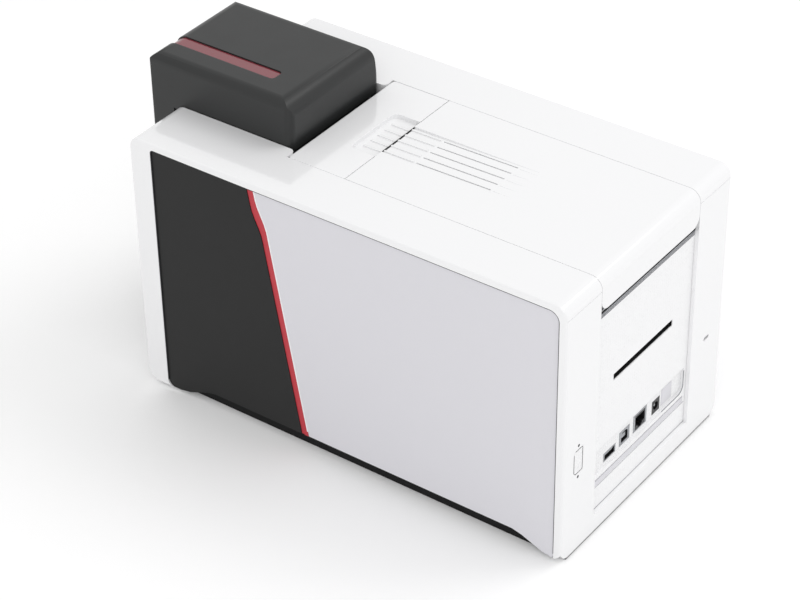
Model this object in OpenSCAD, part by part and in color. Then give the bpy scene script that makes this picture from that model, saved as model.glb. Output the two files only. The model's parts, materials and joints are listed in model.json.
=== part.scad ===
// Desktop card printer: white shell, black top feeder, hinged hood over the
// print engine. Origin on the floor under the middle of the footprint,
// front at -Y, rear connectors at +Y, +Z up, millimetres.

/* [Shell] */
// Width of the shell across both housings
shell_w = 205; // [196:1:220]
// Length of the white shell from front to rear
shell_l = 361; // [352:1:380]
// Height of the shell's top plane above the floor
shell_h = 212; // [206:1:224]
// Wall of the moulded housings and hood
wall = 2.5; // [2:0.1:3]
// Radius of the shell's four corners seen from the side
shell_r = 9; // [6:0.5:12]
// Radius along the outer edges of the housings
edge_r = 1.6; // [1:0.1:2.2]
// Width of the opening between the two top rails, over the hood
bay_w = 123.2; // [118:0.2:126]
// Width of the opening between the rails, beside the feeder
notch_w = 104; // [104:0.5:110]
// Length of the narrow part of the opening, from the shell's front
notch_l = 107; // [106:0.5:110]
// Seam between the parts that lift and the rails
seam = 0.4; // [0.3:0.1:0.8]
// Clearance under the housings, filled by the rubber feet
foot_h = 2.4; // [2:0.1:4]
// Radius of one rubber foot
foot_r = 7; // [5:0.5:9]

/* [Side panels] */
// Depth of a panel's face below the shell's side
panel_inset = 1; // [0.6:0.1:1.6]
// Thickness of the inset side panels
panel_t = 2; // [1.5:0.1:2.5]
// White border in front of the panels
panel_front = 18.5; // [14:0.5:24]
// White border behind the panels
panel_rear = 5.7; // [5:0.1:9]
// White border above the panels
panel_top = 5; // [4:0.5:8]
// Height of the arch under the panels, above the floor
arch_h = 12; // [9:0.5:15]
// Width of the slanted accent stripe
stripe_w = 6.4; // [4:0.2:10]
// Foot of the stripe, behind the panels' front edge
stripe_at = 123.2; // [110:0.1:150]
// Lean of the stripe from the vertical, in degrees
stripe_lean = 10; // [6:0.5:14]
// Extra forward sweep of the stripe near its top
stripe_jog = 4.6; // [2:0.2:7]
// Shadow gap around the side panels
panel_gap = 0.6; // [0.3:0.1:0.8]
// Seam around each of the other inset pieces
shadow_gap = 0.3; // [0.2:0.1:0.6]

/* [Hood] */
// Length of the hood's top, from its parting line to the rear
hood_l = 204.7; // [200:0.1:212]
// Height of the hood's lip down the rear
hood_lip = 26.5; // [24:0.5:30]
// Radius of the lip's lower corners
lip_r = 8; // [5:0.5:10]
// Height of the rims under the hood's edges
hood_rim = 10; // [7:0.5:12]
// Open gap between the lip and the rear panel
lip_gap = 4; // [3.6:0.1:5]
// Depth of the ridged field at the parting line
field_depth = 1.6; // [1.2:0.1:1.9]
// Length of the ridged field behind the parting line
field_l = 106; // [96:1:116]
// Width of the ridged field
field_w = 39; // [37:0.5:44]
// Spacing of the ridges and vent slots
ridge_pitch = 8.2; // [7.4:0.1:8.6]
// Width of one ridge
ridge_w = 1.4; // [1:0.1:2]
// Height of one ridge above the floor that it stands on
ridge_h = 0.9; // [0.6:0.1:1.1]
// Width of one vent slot
vent_w = 1.2; // [1:0.1:1.6]
// Start of the vent slots behind the parting line
vent_at = 27; // [24:0.5:32]
// Length of the vent slots
vent_l = 61; // [50:1:64]

/* [Release bar] */
// Length of the release bar from its front to the parting line
bar_l = 48.8; // [44:0.2:52]
// Parting line between the bar and the hood
bar_gap = 0.6; // [0.4:0.1:1]
// Travel of the bar when pressed
bar_travel = 2; // [1:0.1:2.4]
// Length of the grip scoop in front of the parting line
grip_l = 22; // [18:0.5:26]
// Width of the grip scoop
grip_w = 53; // [46:0.5:56]
// Depth of the grip scoop
grip_depth = 3.2; // [2.4:0.1:4]
// Extra gap at the parting line, across the grip scoop
grip_gap = 0.8; // [0.4:0.1:1.2]

/* [Feeder] */
// Height of the feeder lid's top above the shell's top
lid_rise = 35; // [32:1:48]
// Width of the feeder and the front column
feeder_w = 103; // [99:0.5:103.2]
// Distance the column stands out in front of the shell
column_out = 23; // [20:0.5:28]
// Length of the feeder lid
lid_l = 126; // [124:0.5:127]
// Wall of the lid
lid_wall = 3; // [2.8:0.1:3.4]
// Height of the lid's skirt in front of the shell, below the shell's top
skirt_drop = 35; // [28:0.5:44]
// Depth of the lid's rear and side walls below the shell's top
lid_drop = 4; // [3:0.2:5]
// Radius of the vertical corners at the lid's rear
lid_r = 6; // [4:0.5:8]
// Radius of the vertical corners at the feeder's front
column_r = 3; // [2.5:0.5:6]
// Lean of the lid's left wall from the vertical, in degrees
lid_lean = 11.5; // [0.5:0.5:13]
// Radius of the lid's top edge along its leaning left wall
lid_left_r = 9; // [6:0.5:11]
// Radius of the lid's top edge on the right
lid_right_r = 7.5; // [5:0.5:9]
// Radius of the lid's top edge at the rear
lid_rear_r = 12; // [8:0.5:13]
// Radius of the lid's top edge at the front
lid_front_r = 10; // [6:0.5:12]
// Width of the red window strip on the lid
window_w = 11.5; // [9:0.5:14]
// Right edge of the window strip, from the middle
window_x = 31.5; // [28:0.5:34]
// Length of the window strip along the lid's top
window_l = 96; // [80:1:100]
// Depth of the channel that the window strip lies in
window_depth = 2; // [1.6:0.1:2.2]
// Thickness of the window strip
window_t = 0.9; // [0.7:0.1:1.1]

/* [Cards] */
// Width of a card
card_w = 54; // [53.8:0.1:54.4]
// Length of a card
card_l = 85.6; // [85.4:0.1:86]
// Height of the card path above the floor
card_z = 116; // [112:0.5:120]
// Width of the card slot in the rear panel
slot_w = 75.5; // [64:0.5:84]
// Height of the card slot in the rear panel
slot_h = 5.3; // [4.8:0.1:6]
// Clearance of a card in the hoppers, each side
card_clear = 1; // [0.6:0.1:1.5]

/* [Rollers and gears] */
// Radius of the driven rollers
roller_r = 6; // [5:0.1:6.5]
// Radius of the pick roller
pick_r = 8.5; // [8.2:0.1:9]
// Radius of the pinch rollers
pinch_r = 5; // [4:0.1:5.5]
// Radius of the tacky cleaning roller
cleaner_r = 8; // [7:0.1:9]
// Nip between a driven roller and the roller above it
nip = 0.6; // [0.4:0.1:0.8]
// Radius of the driven shafts
shaft_r = 3; // [2.6:0.1:3.2]
// Radius of the pinch roller shafts
pinch_shaft_r = 2; // [1.8:0.1:2.2]
// Radial running clearance of every shaft and pin
run_fit = 0.06; // [0.03:0.01:0.09]
// Module of the gear teeth
gear_m = 1; // [1:1:1]
// Face width of the gears
gear_w = 6; // [4:0.5:7]
// Teeth on each roller gear
roller_teeth = 20; // [20:2:20]
// Teeth on each large idler gear
idler_teeth = 40; // [40:2:40]
// Teeth on the idler of the pick roller
pick_idler_teeth = 45; // [45:2:45]
// Teeth on the motor pinion
pinion_teeth = 12; // [12:2:12]
// Flank clearance of the gear teeth
backlash = 0.16; // [0.1:0.02:0.24]

/* [Ribbon] */
// Radius of the ribbon wound on a spool
ribbon_r = 14; // [11:0.5:15]
// Radius of the spool flanges
spool_r = 16; // [15.5:0.5:17]
// Width of the ribbon
ribbon_w = 58; // [56:0.5:60]

/* [Rear] */
// Depth of the rear panel below the housings' rear face
rear_inset = 3; // [2:0.1:4]
// Height of the white sill below the rear panel, above the floor
sill_top = 16; // [14:0.5:20]
// Width of the connector pocket
pocket_w = 117; // [112:0.5:118]
// Height of the connector pocket
pocket_h = 21.5; // [20:0.5:26]
// Depth of the connector pocket
pocket_depth = 2; // [1.6:0.1:2.4]
// Height of the connectors' common foot above the floor
port_foot = 47.2; // [44:0.1:50]
// Height of the ledge below the connector pocket
ledge_h = 6; // [4:0.5:7]
// Depth of the ledge into the rear panel
ledge_depth = 0.8; // [0.5:0.1:1.2]

/* [Hidden] */
$fn = 64;

// Planes of the whole machine
depth = shell_l + column_out;
rear_y = depth / 2;
shell_y = rear_y - shell_l;
column_y = -depth / 2;
side_x = shell_w / 2;
bay_x = bay_w / 2;
notch_x = notch_w / 2;
jog_y = shell_y + notch_l;
join = 0.01;

// Hood and release bar
hood_x = bay_x - seam;
hood_y = rear_y - hood_l;
lip_z = shell_h - hood_lip;
bar_y0 = hood_y - bar_l;
bar_y1 = hood_y - bar_gap;
hood_pivot_r = 2;
hood_pin_r = 1;
hood_pivot = [rear_y - wall - hood_pivot_r - 0.3, lip_z - 1.6];
knuckle_x = 44;
knuckle_w = 8;
knuckle_gap = 0.3;
ear_w = 6;
ridge_count = 5;

// Feeder
feeder_h = shell_h + lid_rise;
feeder_x = feeder_w / 2;
lid_y1 = column_y + lid_l;
skirt_z = shell_h - skirt_drop;
lid_z = shell_h - lid_drop;
lid_skirt_y = shell_y - 2;
lid_pivot_r = 2.2;
lid_pin_r = 1.2;
lid_pivot = [lid_y1 - lid_wall - lid_pivot_r - 0.4, shell_h + 5.5];
deck_z = lid_z - 4;
deck_t = 2.5;
lid_ear_x = 36;
lid_ear_w = 5;
neck_l = 22;
light_z = skirt_z - 11.3;
button_z = skirt_z - 35;

// Frame and card path
plate_x = 48;
plate_t = 2;
plate_in = plate_x - plate_t;
plate_y0 = -148;
plate_y1 = rear_y - 14;
plate_z0 = 22;
plate_z1 = 130;
plate_windows = [[[-20, 36], [18, 78]], [[30, 36], [68, 78]], [[112, 66], [166, 88]]];
plate_feet = [-118, 40, 128];
foot_l = 26;
ear_r = 12;
crossbars = [[plate_y0 + 6, 104], [-84, 30], [-84, 92], [60, 30], [152, 28], [plate_y1 - 12, 98]];
crossbar_r = 3.5;
rubber_x = side_x - 22.5;
tray_z = foot_h;
tray_t = 2.4;
tray_x = side_x - panel_inset - panel_t - wall - 5;
tray_rim = 14;
tray_y0 = shell_y + 19.2;
tray_y1 = rear_y - 17;
drive_z = card_z - roller_r;
gear_x = -(plate_x + 2);
roller_w = 58;
platen_y = 57;
pitch_y = gear_m * (roller_teeth + idler_teeth);
pick_pitch_y = gear_m * (roller_teeth + pick_idler_teeth);
exit_y = platen_y + pitch_y;
transport_y = platen_y - pitch_y;
feed_y = transport_y - pitch_y;
pick_y = feed_y - pick_pitch_y;
pinion_z = drive_z - gear_m * (idler_teeth + pinion_teeth) / 2;
pinion_y = (platen_y + exit_y) / 2;
pinch_z = card_z + nip + pinch_r;
cleaner_z = card_z + nip + cleaner_r;
motor_w = 35;
motor_l = 30;
motor_shaft_r = 2.5;
pick_w = 22;
take_up = [7, shell_h - 40];
supply = [120, shell_h - 33];
film_t = 0.25;
film_z = card_z + 1;
head_gap = 0.35;
head_z = film_z + film_t + head_gap;
head_y0 = platen_y - 8;
head_y1 = platen_y + 8;

// Hoppers
hopper_x = card_w / 2 + card_clear;
hopper_y0 = pick_y - card_l / 2 - card_clear;
hopper_y1 = pick_y + card_l / 2 + card_clear;
hopper_wall = 2.5;
hopper_z = card_z + 2;
bin_z0 = 24;
bin_z1 = 96;
bin_tabs = [40, 78];
bin_wall = 2;
bin_y1 = -92;

// Latch
bridge_z = shell_h - 22;
bridge_t = 3;
post_x = 42;
post_y = (bar_y0 + bar_y1) / 2;
post_r = 3;
hook_pivot = [-26, bridge_z - 7];
hook_top = bridge_z + 9;
hook_t = 3;
catch_gap = 1;
catch_t = 2;
hook_x = 34;
hook_pin_r = 1.5;
spring_r = 5.2;
spring_wire = 0.5;
spring_turns = 5;

// Rear panel and ports
panel_y = rear_y - rear_inset;
panel_z0 = sill_top + shadow_gap;
panel_z1 = lip_z - lip_gap;
slot_z = card_z + 1.2;
pocket_bottom = port_foot - 2.7;
pocket_top = pocket_bottom + pocket_h;
pocket_y = panel_y - pocket_depth;
ledge_top = pocket_bottom - 3.5;
port_seat = 0.2;
usb_a_x = 35.5;
usb_b_x = 16.5;
ethernet_x = -3.6;
inlet_x = -24.5;
board_t = 1.6;
board_z = port_foot - board_t;
column_mid = (bay_x + side_x) / 2;
throat_l = 7;
inlet_r = 3.2;
serial_at = [column_mid + 1.6, 78];
serial_half = [5.3, 9.8];
serial_cut = [2.3, 2.8];
lock_at = [-column_mid, 78.4];
lock_size = [7, 3];
lock_plate = [20, 16];
lock_plate_t = 1.5;
hinge_z = panel_z1 - 2.5;
board_y0 = 96;
board_x = 44;
board_chips = [[-24, 20, 16], [6, 22, 12], [26, 28, 9]];
standoff_x = 38;
standoff_y = [board_y0 + 6, panel_y - 16];

white = "#f4f4f5";
black = "#343436";
steel = "#b9bcc0";
red = "#c2303a";

// ---- Helpers -------------------------------------------------------------

// A (y, z) outline extruded along X.
module along_x(x0, x1) {
    translate([x0, 0, 0]) rotate([90, 0, 90]) linear_extrude(x1 - x0) children();
}

// An (x, z) outline extruded along Y.
module along_y(y0, y1) {
    translate([0, y1, 0]) rotate([90, 0, 0]) linear_extrude(y1 - y0) children();
}

// An (x, y) outline extruded along Z.
module along_z(z0, z1) {
    translate([0, 0, z0]) linear_extrude(z1 - z0) children();
}

// A cylinder along X from x0 to x1 at (y, z).
module rod(x0, x1, at, r) {
    translate([x0, at[0], at[1]]) rotate([0, 90, 0]) cylinder(r = r, h = x1 - x0);
}

// A box given by its two corners.
module block(a, b) {
    translate(a) cube(b - a);
}

// A rectangle with a true arc of its own at each corner:
// r = [low-low, high-low, high-high, low-high].
module rounded(a, b, r) {
    corners = [[a[0], a[1]], [b[0], a[1]], [b[0], b[1]], [a[0], b[1]]];
    inward = [[1, 1], [-1, 1], [-1, -1], [1, -1]];
    difference() {
        translate(a) square(b - a);
        for (i = [0:3])
            if (r[i] > 0)
                translate(corners[i]) difference() {
                    translate([min(0, inward[i][0] * r[i]) - (inward[i][0] > 0 ? 1 : 0),
                            min(0, inward[i][1] * r[i]) - (inward[i][1] > 0 ? 1 : 0)])
                        square(r[i] + 1);
                    translate(inward[i] * r[i]) circle(r[i]);
                }
    }
}

// Cuts the corner p between the edges along u and v back to an arc of radius r.
module soften(p, u, v, r) {
    half = acos(u * v) / 2;
    reach = r / tan(half);
    difference() {
        polygon([p - u - v, p + reach * u - v, p + reach * u, p + reach * v, p + reach * v - u]);
        translate(p + (u + v) / norm(u + v) * r / sin(half)) circle(r);
    }
}

// Both copies of a shape mirrored about the middle plane.
module both_sides() {
    for (s = [0, 1]) mirror([s, 0, 0]) children();
}

// A slab from x0 to x1 whose outer face at x1 has softened edges.
module soft_slab(x0, x1, a, b, r, e) {
    along_x(x0, x1 - e) rounded(a, b, [r, r, r, r]);
    along_x(x1 - 2 * e, x1) rounded(a + [e, e], b - [e, e], [1, 1, 1, 1] * (r - e));
    for (z = [a[1] + e, b[1] - e])
        translate([x1 - e, a[0] + r, z]) rotate([-90, 0, 0])
            cylinder(r = e, h = b[0] - a[0] - 2 * r);
    for (y = [a[0] + e, b[0] - e])
        translate([x1 - e, y, a[1] + r]) cylinder(r = e, h = b[1] - a[1] - 2 * r);
    for (y = [a[0] + r, b[0] - r], z = [a[1] + r, b[1] - r])
        translate([x1 - e, y, z]) rotate([0, 90, 0])
            rotate_extrude() translate([r - e, 0]) circle(e);
}

function smooth(t) = let (u = max(0, min(1, t))) u * u * (3 - 2 * u);

// ---- Gears ---------------------------------------------------------------

function rolled(t) = (tan(t) * 180 / PI) - t;

// One involute flank, from root to tip, as [radius, half angle] pairs.
function flank(teeth) = let (
    pitch = gear_m * teeth / 2,
    base = pitch * cos(20),
    half = 90 / teeth - backlash / 2 / pitch * 180 / PI,
    tip = pitch + gear_m,
    root = pitch - 1.25 * gear_m,
    start = max(base, root)
) concat(
    [[root, half + rolled(20)]],
    [for (i = [0:3]) let (
        r = start + (tip - start) * i / 3,
        a = acos(base / r)
    ) [r, half + rolled(20) - rolled(a)]]
);

// Gear outline with a tooth centred at the angle turn.
module gear_outline(teeth, turn) {
    side = flank(teeth);
    last = len(side) - 1;
    polygon([for (k = [0:teeth - 1]) let (mid = turn + k * 360 / teeth)
        each concat(
            [for (i = [0:last]) side[i][0] * [cos(mid - side[i][1]), sin(mid - side[i][1])]],
            [for (i = [last:-1:0]) side[i][0] * [cos(mid + side[i][1]), sin(mid + side[i][1])]]
        )]);
}

// A gear at (y, z) on the outer face of the left plate.
module gear(teeth, at, turn, bore) {
    difference() {
        along_x(gear_x - gear_w, gear_x)
            translate(at) difference() {
                gear_outline(teeth, turn);
                circle(bore);
                if (teeth > 30)
                    for (a = [30:60:330])
                        rotate(a) translate([gear_m * teeth * 0.3, 0]) circle(gear_m * teeth * 0.085);
            }
        if (teeth > 30)
            for (x = [gear_x - gear_w - 1, gear_x - 1.5])
                translate([x, at[0], at[1]]) rotate([0, 90, 0])
                    difference() {
                        cylinder(r = gear_m * teeth / 2 - 3.5, h = 2.5);
                        translate([0, 0, -1]) cylinder(r = bore + 3, h = 5);
                    }
    }
}

// ---- Base ----------------------------------------------------------------

// Height of the arch's edge at y, measured from the floor.
function arch_at(y) = foot_h - 0.4 + (arch_h - foot_h + 0.4) * (
    smooth((y - panel_y0 - 12) / 34) - smooth((y - panel_y1 + 36) / 34));
panel_y0 = shell_y + panel_front;
panel_y1 = rear_y - panel_rear;
panel_top_z = shell_h - panel_top;
arch_steps = 40;

// Region below the arch, between the two ends of the panels.
module arch_region(lift) {
    polygon(concat(
        [[panel_y1 - 2, -1], [panel_y0 + 12, -1]],
        [for (i = [0:arch_steps]) let (
            y = panel_y0 + 12 + (panel_y1 - panel_y0 - 14) * i / arch_steps
        ) [y, arch_at(y) + lift]]
    ));
}

// Pan between the housings: low between the panels' ends, raised over them.
module base_tray() {
    end0 = panel_y0 + 24;
    end1 = panel_y1 - 20;
    top = tray_z + tray_rim;
    raised = tray_z + tray_t;
    color("#26262a") {
        difference() {
            union() {
                block([-tray_x, end0, tray_z], [tray_x, end1, top]);
                block([-tray_x, tray_y0, raised], [tray_x, tray_y1, top]);
                block([-bay_x + 1, tray_y1 - 1, raised], [bay_x - 1, panel_y - wall, top]);
            }
            block([-tray_x + tray_t, end0 + tray_t, raised],
                [tray_x - tray_t, end1 - tray_t, top + 1]);
            block([-tray_x + tray_t, tray_y0 + tray_t, raised + tray_t],
                [tray_x - tray_t, tray_y1 - tray_t, top + 1]);
            block([-bay_x + 1 + tray_t, tray_y1 - tray_t - 1, raised + tray_t],
                [bay_x - 1 - tray_t, panel_y - wall - tray_t, top + 1]);
        }
        for (x = [-standoff_x, standoff_x], y = standoff_y)
            translate([x, y, raised]) cylinder(r = 3, h = board_z - raised);
    }
}

module rubber_feet() {
    color("#1d1d1f")
        for (x = [-rubber_x, rubber_x], y = [panel_y0 + 40, panel_y1 - 36])
            translate([x, y, 0]) cylinder(r1 = foot_r - 0.5, r2 = foot_r, h = foot_h);
}

// ---- Housings ------------------------------------------------------------

// Right housing; the left one is its mirror image.
module housing() {
    cavity_x = side_x - panel_inset - panel_t - wall;
    color(white) difference() {
        union() {
            soft_slab(bay_x, side_x, [shell_y, foot_h - 0.4], [rear_y, shell_h], shell_r, edge_r);
            intersection() {
                along_x(notch_x, bay_x + 5)
                    rounded([shell_y, foot_h - 0.4], [rear_y, shell_h],
                        [1, 1, 1, 1] * shell_r);
                along_z(0, shell_h + 1)
                    rounded([notch_x, shell_y], [bay_x + 5, jog_y], [5, 0, 0, 4]);
            }
        }
        // hollow behind the outer walls
        along_x(bay_x + wall, cavity_x)
            rounded([shell_y + wall, foot_h + 2], [rear_y - wall, shell_h - wall],
                [1, 1, 1, 1] * (shell_r - wall));
        along_x(notch_x + wall, bay_x + wall + 1)
            rounded([shell_y + wall, foot_h + 2], [jog_y - wall, shell_h - wall],
                [1, 0, 0, 1] * (shell_r - wall));
        // window through the inner wall, for the tray and the print engine
        block([notch_x - 1, tray_y0 - 0.2, -1], [bay_x + wall + 1, tray_y1 + 0.2, lip_z]);
        // recess for the side panels
        along_x(side_x - panel_inset - panel_t, side_x + 1) panel_outline(0);
        // arch under the panels
        along_x(notch_x - 1, side_x + 1) arch_region(0.6);
        // seam across the shoulder
        block([bay_x - 1, rear_y - 0.4, shell_h - 10.2], [side_x + 1, rear_y + 1, shell_h - 9.8]);
    }
}

module right_housing() {
    difference() {
        housing();
        along_y(rear_y - 0.6, rear_y + 1) serial_outline(0.35);
    }
}

module left_housing() {
    difference() {
        mirror([1, 0, 0]) housing();
        along_y(rear_y - wall - 1, rear_y + 1) lock_outline();
    }
}

// ---- Side panels ---------------------------------------------------------

// Edge of the stripe at height z: its front border, moved back by off.
function stripe_at_z(z, off) = panel_y0 + stripe_at + off - tan(stripe_lean) * (z - arch_h)
    - stripe_jog * smooth((z - (panel_top_z - 39) - off * 1.2) / 24);
stripe_steps = 36;
stripe_fit = 0.1;
stripe_step = 0.6;
stripe_ridge = 3.6;
corner_r = [5, 3, 8, 3];

// Outline of the whole inset area of one side, shrunk by gap.
module panel_outline(gap) {
    difference() {
        rounded([panel_y0 + gap, foot_h], [panel_y1 - gap, panel_top_z - gap], corner_r);
        arch_region(gap);
    }
}

// Everything in front of the stripe's border at off.
module ahead_of(off) {
    top = panel_top_z + 5;
    polygon(concat(
        [[panel_y0 - 5, top], [panel_y0 - 5, -1]],
        [for (i = [0:stripe_steps]) let (z = -1 + (top + 1) * i / stripe_steps)
            [stripe_at_z(z, off), z]]
    ));
}

module panel_body(t) {
    along_x(side_x - panel_inset - panel_t, side_x - panel_inset - panel_t + t) children();
}

module dark_panel() {
    color(black) panel_body(panel_t) intersection() {
        panel_outline(panel_gap);
        ahead_of(0);
    }
}

module light_panel() {
    color("#d9d8dd") panel_body(panel_t) difference() {
        panel_outline(panel_gap);
        ahead_of(stripe_w);
    }
}

module stripe() {
    color(red) {
        panel_body(panel_t - stripe_step) intersection() {
            panel_outline(panel_gap);
            difference() {
                ahead_of(stripe_w - stripe_fit);
                ahead_of(stripe_fit);
            }
        }
        panel_body(panel_t) intersection() {
            panel_outline(panel_gap);
            difference() {
                ahead_of(stripe_w - stripe_fit);
                ahead_of(stripe_w - stripe_ridge);
            }
        }
    }
}

module right_dark_panel() { dark_panel(); }
module left_dark_panel() { mirror([1, 0, 0]) dark_panel(); }
module right_light_panel() { light_panel(); }
module left_light_panel() { mirror([1, 0, 0]) light_panel(); }
module right_stripe() { stripe(); }
module left_stripe() { mirror([1, 0, 0]) stripe(); }

// ---- Rear ----------------------------------------------------------------

// Size of each connector: width, height.
usb_a_size = [15, 7];
usb_b_size = [13, 12];
ethernet_size = [17, 14.4];
inlet_size = [10, 11.4];

// Height of a connector's middle line.
function port_z(size) = port_foot + size[1] / 2;

module port_hole(x, size) {
    along_y(pocket_y - wall - 1, pocket_y + 1)
        translate([x - size[0] / 2 - port_seat, port_foot - port_seat])
            square(size + [1, 1] * 2 * port_seat);
}

module rear_panel() {
    x = bay_x - shadow_gap;
    lip = 2;
    color("#e9e9ec") difference() {
        union() {
            along_y(panel_y - wall, panel_y)
                rounded([-x, panel_z0], [x, panel_z1], [1, 1, 0, 0]);
            // thicker back of the connector pocket
            along_y(pocket_y - wall, panel_y - wall + join)
                rounded([-x, ledge_top - ledge_h - wall], [x, pocket_top + wall], [1, 1, 0, 0]);
            // throat of the card slot
            block([-slot_w / 2 - lip, panel_y - throat_l, slot_z - slot_h / 2 - lip],
                [slot_w / 2 + lip, panel_y - 1, slot_z + slot_h / 2 + lip]);
            // shelf that carries the hinge bracket
            block([-x, panel_y - 12, hinge_z - 2], [x, panel_y - wall + 1, hinge_z]);
        }
        along_y(pocket_y, panel_y + 1)
            rounded([-pocket_w / 2, pocket_bottom], [pocket_w / 2, pocket_top], [6, 6, 0, 0]);
        along_y(panel_y - ledge_depth, panel_y + 1)
            translate([-pocket_w / 2, ledge_top - ledge_h]) square([pocket_w, ledge_h]);
        block([-slot_w / 2, panel_y - throat_l - 1, slot_z - slot_h / 2],
            [slot_w / 2, panel_y + 1, slot_z + slot_h / 2]);
        port_hole(usb_a_x, usb_a_size);
        port_hole(usb_b_x, usb_b_size);
        port_hole(ethernet_x, ethernet_size);
        port_hole(inlet_x, inlet_size);
    }
}

// White sill between the housings, under the rear panel.
module rear_sill() {
    x = bay_x - shadow_gap;
    color(white) difference() {
        along_x(-x, x)
            rounded([panel_y - wall, foot_h - 0.4], [rear_y, sill_top], [0, shell_r, 0, 0]);
        along_x(-x + wall, x - wall)
            translate([panel_y - wall - 1, sill_top - wall - 5.5]) square([wall + 1.5, 5.5]);
    }
}

// A connector's outer body, from the board to its mouth in the pocket.
module port_body(x, size, deep) {
    block([x - size[0] / 2, pocket_y - deep, port_foot],
        [x + size[0] / 2, pocket_y, port_foot + size[1]]);
}

module usb_a_port() {
    z = port_z(usb_a_size);
    mouth = [6.25, 2.6];
    tongue = [5.6, 1.9];
    color(steel) difference() {
        port_body(usb_a_x, usb_a_size, 14);
        difference() {
            block([usb_a_x - mouth[0], pocket_y - 12, z - mouth[1]],
                [usb_a_x + mouth[0], pocket_y + 1, z + mouth[1]]);
            block([usb_a_x - tongue[0], pocket_y - 13, z + 0.1],
                [usb_a_x + tongue[0], pocket_y - 1, z + 0.1 + tongue[1]]);
        }
    }
}

module usb_b_port() {
    z = port_z(usb_b_size);
    mouth = 4.2;
    bevel = 1.8;
    tongue = [2.8, 1.6];
    color(steel) difference() {
        port_body(usb_b_x, usb_b_size, 16);
        difference() {
            along_y(pocket_y - 13, pocket_y + 1)
                translate([usb_b_x, z])
                    polygon([[-mouth, -mouth], [mouth, -mouth], [mouth, mouth - bevel],
                        [mouth - bevel, mouth], [bevel - mouth, mouth], [-mouth, mouth - bevel]]);
            block([usb_b_x - tongue[0], pocket_y - 14, z - tongue[1]],
                [usb_b_x + tongue[0], pocket_y - 1, z + tongue[1]]);
        }
    }
}

module ethernet_port() {
    z = port_z(ethernet_size);
    mouth = 5.9;
    key = [3, 1.6];
    color("#2c2c2e") difference() {
        port_body(ethernet_x, ethernet_size, 18);
        block([ethernet_x - mouth, pocket_y - 13, z - 3], [ethernet_x + mouth, pocket_y + 1, z + 4.4]);
        block([ethernet_x - key[0], pocket_y - 11, z - 4.6],
            [ethernet_x + key[0], pocket_y + 1, z - 2.9]);
        block([ethernet_x - key[1], pocket_y - 11, z - 6],
            [ethernet_x + key[1], pocket_y + 1, z - 4.5]);
    }
}

module power_inlet() {
    color("#202022") difference() {
        port_body(inlet_x, inlet_size, 14);
        translate([inlet_x, pocket_y + 1, port_z(inlet_size)]) rotate([90, 0, 0])
            cylinder(r = inlet_r, h = 11);
    }
}

module inlet_pin() {
    color(steel) translate([inlet_x, pocket_y - 1, port_z(inlet_size)]) rotate([90, 0, 0])
        cylinder(r = 1, h = 9);
}

// D-shaped outline of the serial port's knock-out, grown by gap.
module serial_outline(gap) {
    half = serial_half + [gap, gap];
    cut = serial_cut;
    translate(serial_at)
        polygon([[-half[0], -half[1]], [half[0] - cut[0], -half[1]], [half[0], cut[1] - half[1]],
            [half[0], half[1] - cut[1]], [half[0] - cut[0], half[1]], [-half[0], half[1]]]);
}

module serial_knockout() {
    color("#ededf0") along_y(rear_y - 0.6, rear_y - 0.1) serial_outline(0);
}

// Mouth of the slot for a security lock.
module lock_outline() {
    half = lock_size / 2;
    translate(lock_at) rounded(-half, half, [1, 1, 1, 1] * (half[1] - 0.1));
}

module lock_slot() {
    y = rear_y - wall;
    color(steel) difference() {
        along_y(y - lock_plate_t, y) translate(lock_at) square(lock_plate, center = true);
        along_y(y - lock_plate_t - 1, y + 1) lock_outline();
    }
}

// Three knuckles per hinge: two on the bracket, one on the hood.
module hood_knuckle(x0, x1, reach) {
    difference() {
        union() {
            rod(x0, x1, hood_pivot, hood_pivot_r);
            children();
        }
        rod(x0 - 1, x1 + 1, hood_pivot, hood_pin_r + reach);
    }
}

module hood_hinge_bracket() {
    half = knuckle_w / 2 + knuckle_gap;
    color(steel) both_sides() {
        block([knuckle_x - half - ear_w, panel_y - 11, hinge_z],
            [knuckle_x + half + ear_w, panel_y - wall, hinge_z + 1.2]);
        for (x = [knuckle_x - half - ear_w, knuckle_x + half])
            hood_knuckle(x, x + ear_w, 0)
                block([x, hood_pivot[0] - hood_pivot_r - 1.2, hinge_z],
                    [x + ear_w, panel_y - wall, hood_pivot[1]]);
    }
}

module hood_hinge_pins() {
    half = knuckle_w / 2 + knuckle_gap + ear_w;
    color(steel) both_sides() rod(knuckle_x - half, knuckle_x + half, hood_pivot, hood_pin_r);
}

// ---- Frame ---------------------------------------------------------------

module plate_outline() {
    difference() {
        union() {
            translate([plate_y0, plate_z0]) square([plate_y1 - plate_y0, plate_z1 - plate_z0]);
            rounded([bar_y0 - 0.5, drive_z], [bar_y1 - 2.7, bridge_z], [0, 0, 4, 4]);
            for (p = [take_up, supply])
                rounded([p[0] - ear_r, drive_z], p + [ear_r, ear_r - 2], [0, 0, 6, 6]);
        }
        for (p = [take_up, supply]) {
            translate(p) circle(shaft_r + run_fit);
            translate(p - [shaft_r + run_fit, 0]) square([2 * (shaft_r + run_fit), 20]);
        }
        for (y = [feed_y, transport_y, platen_y, exit_y, pick_y])
            translate([y, drive_z]) circle(shaft_r + run_fit);
        for (y = [transport_y, exit_y])
            translate([y, pinch_z]) circle(pinch_shaft_r + run_fit);
        translate([feed_y, cleaner_z]) circle(pinch_shaft_r + run_fit);
        translate(hook_pivot) circle(hook_pin_r + run_fit);
        for (w = plate_windows) rounded(w[0], w[1], [1, 1, 1, 1] * 5);
    }
}

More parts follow.
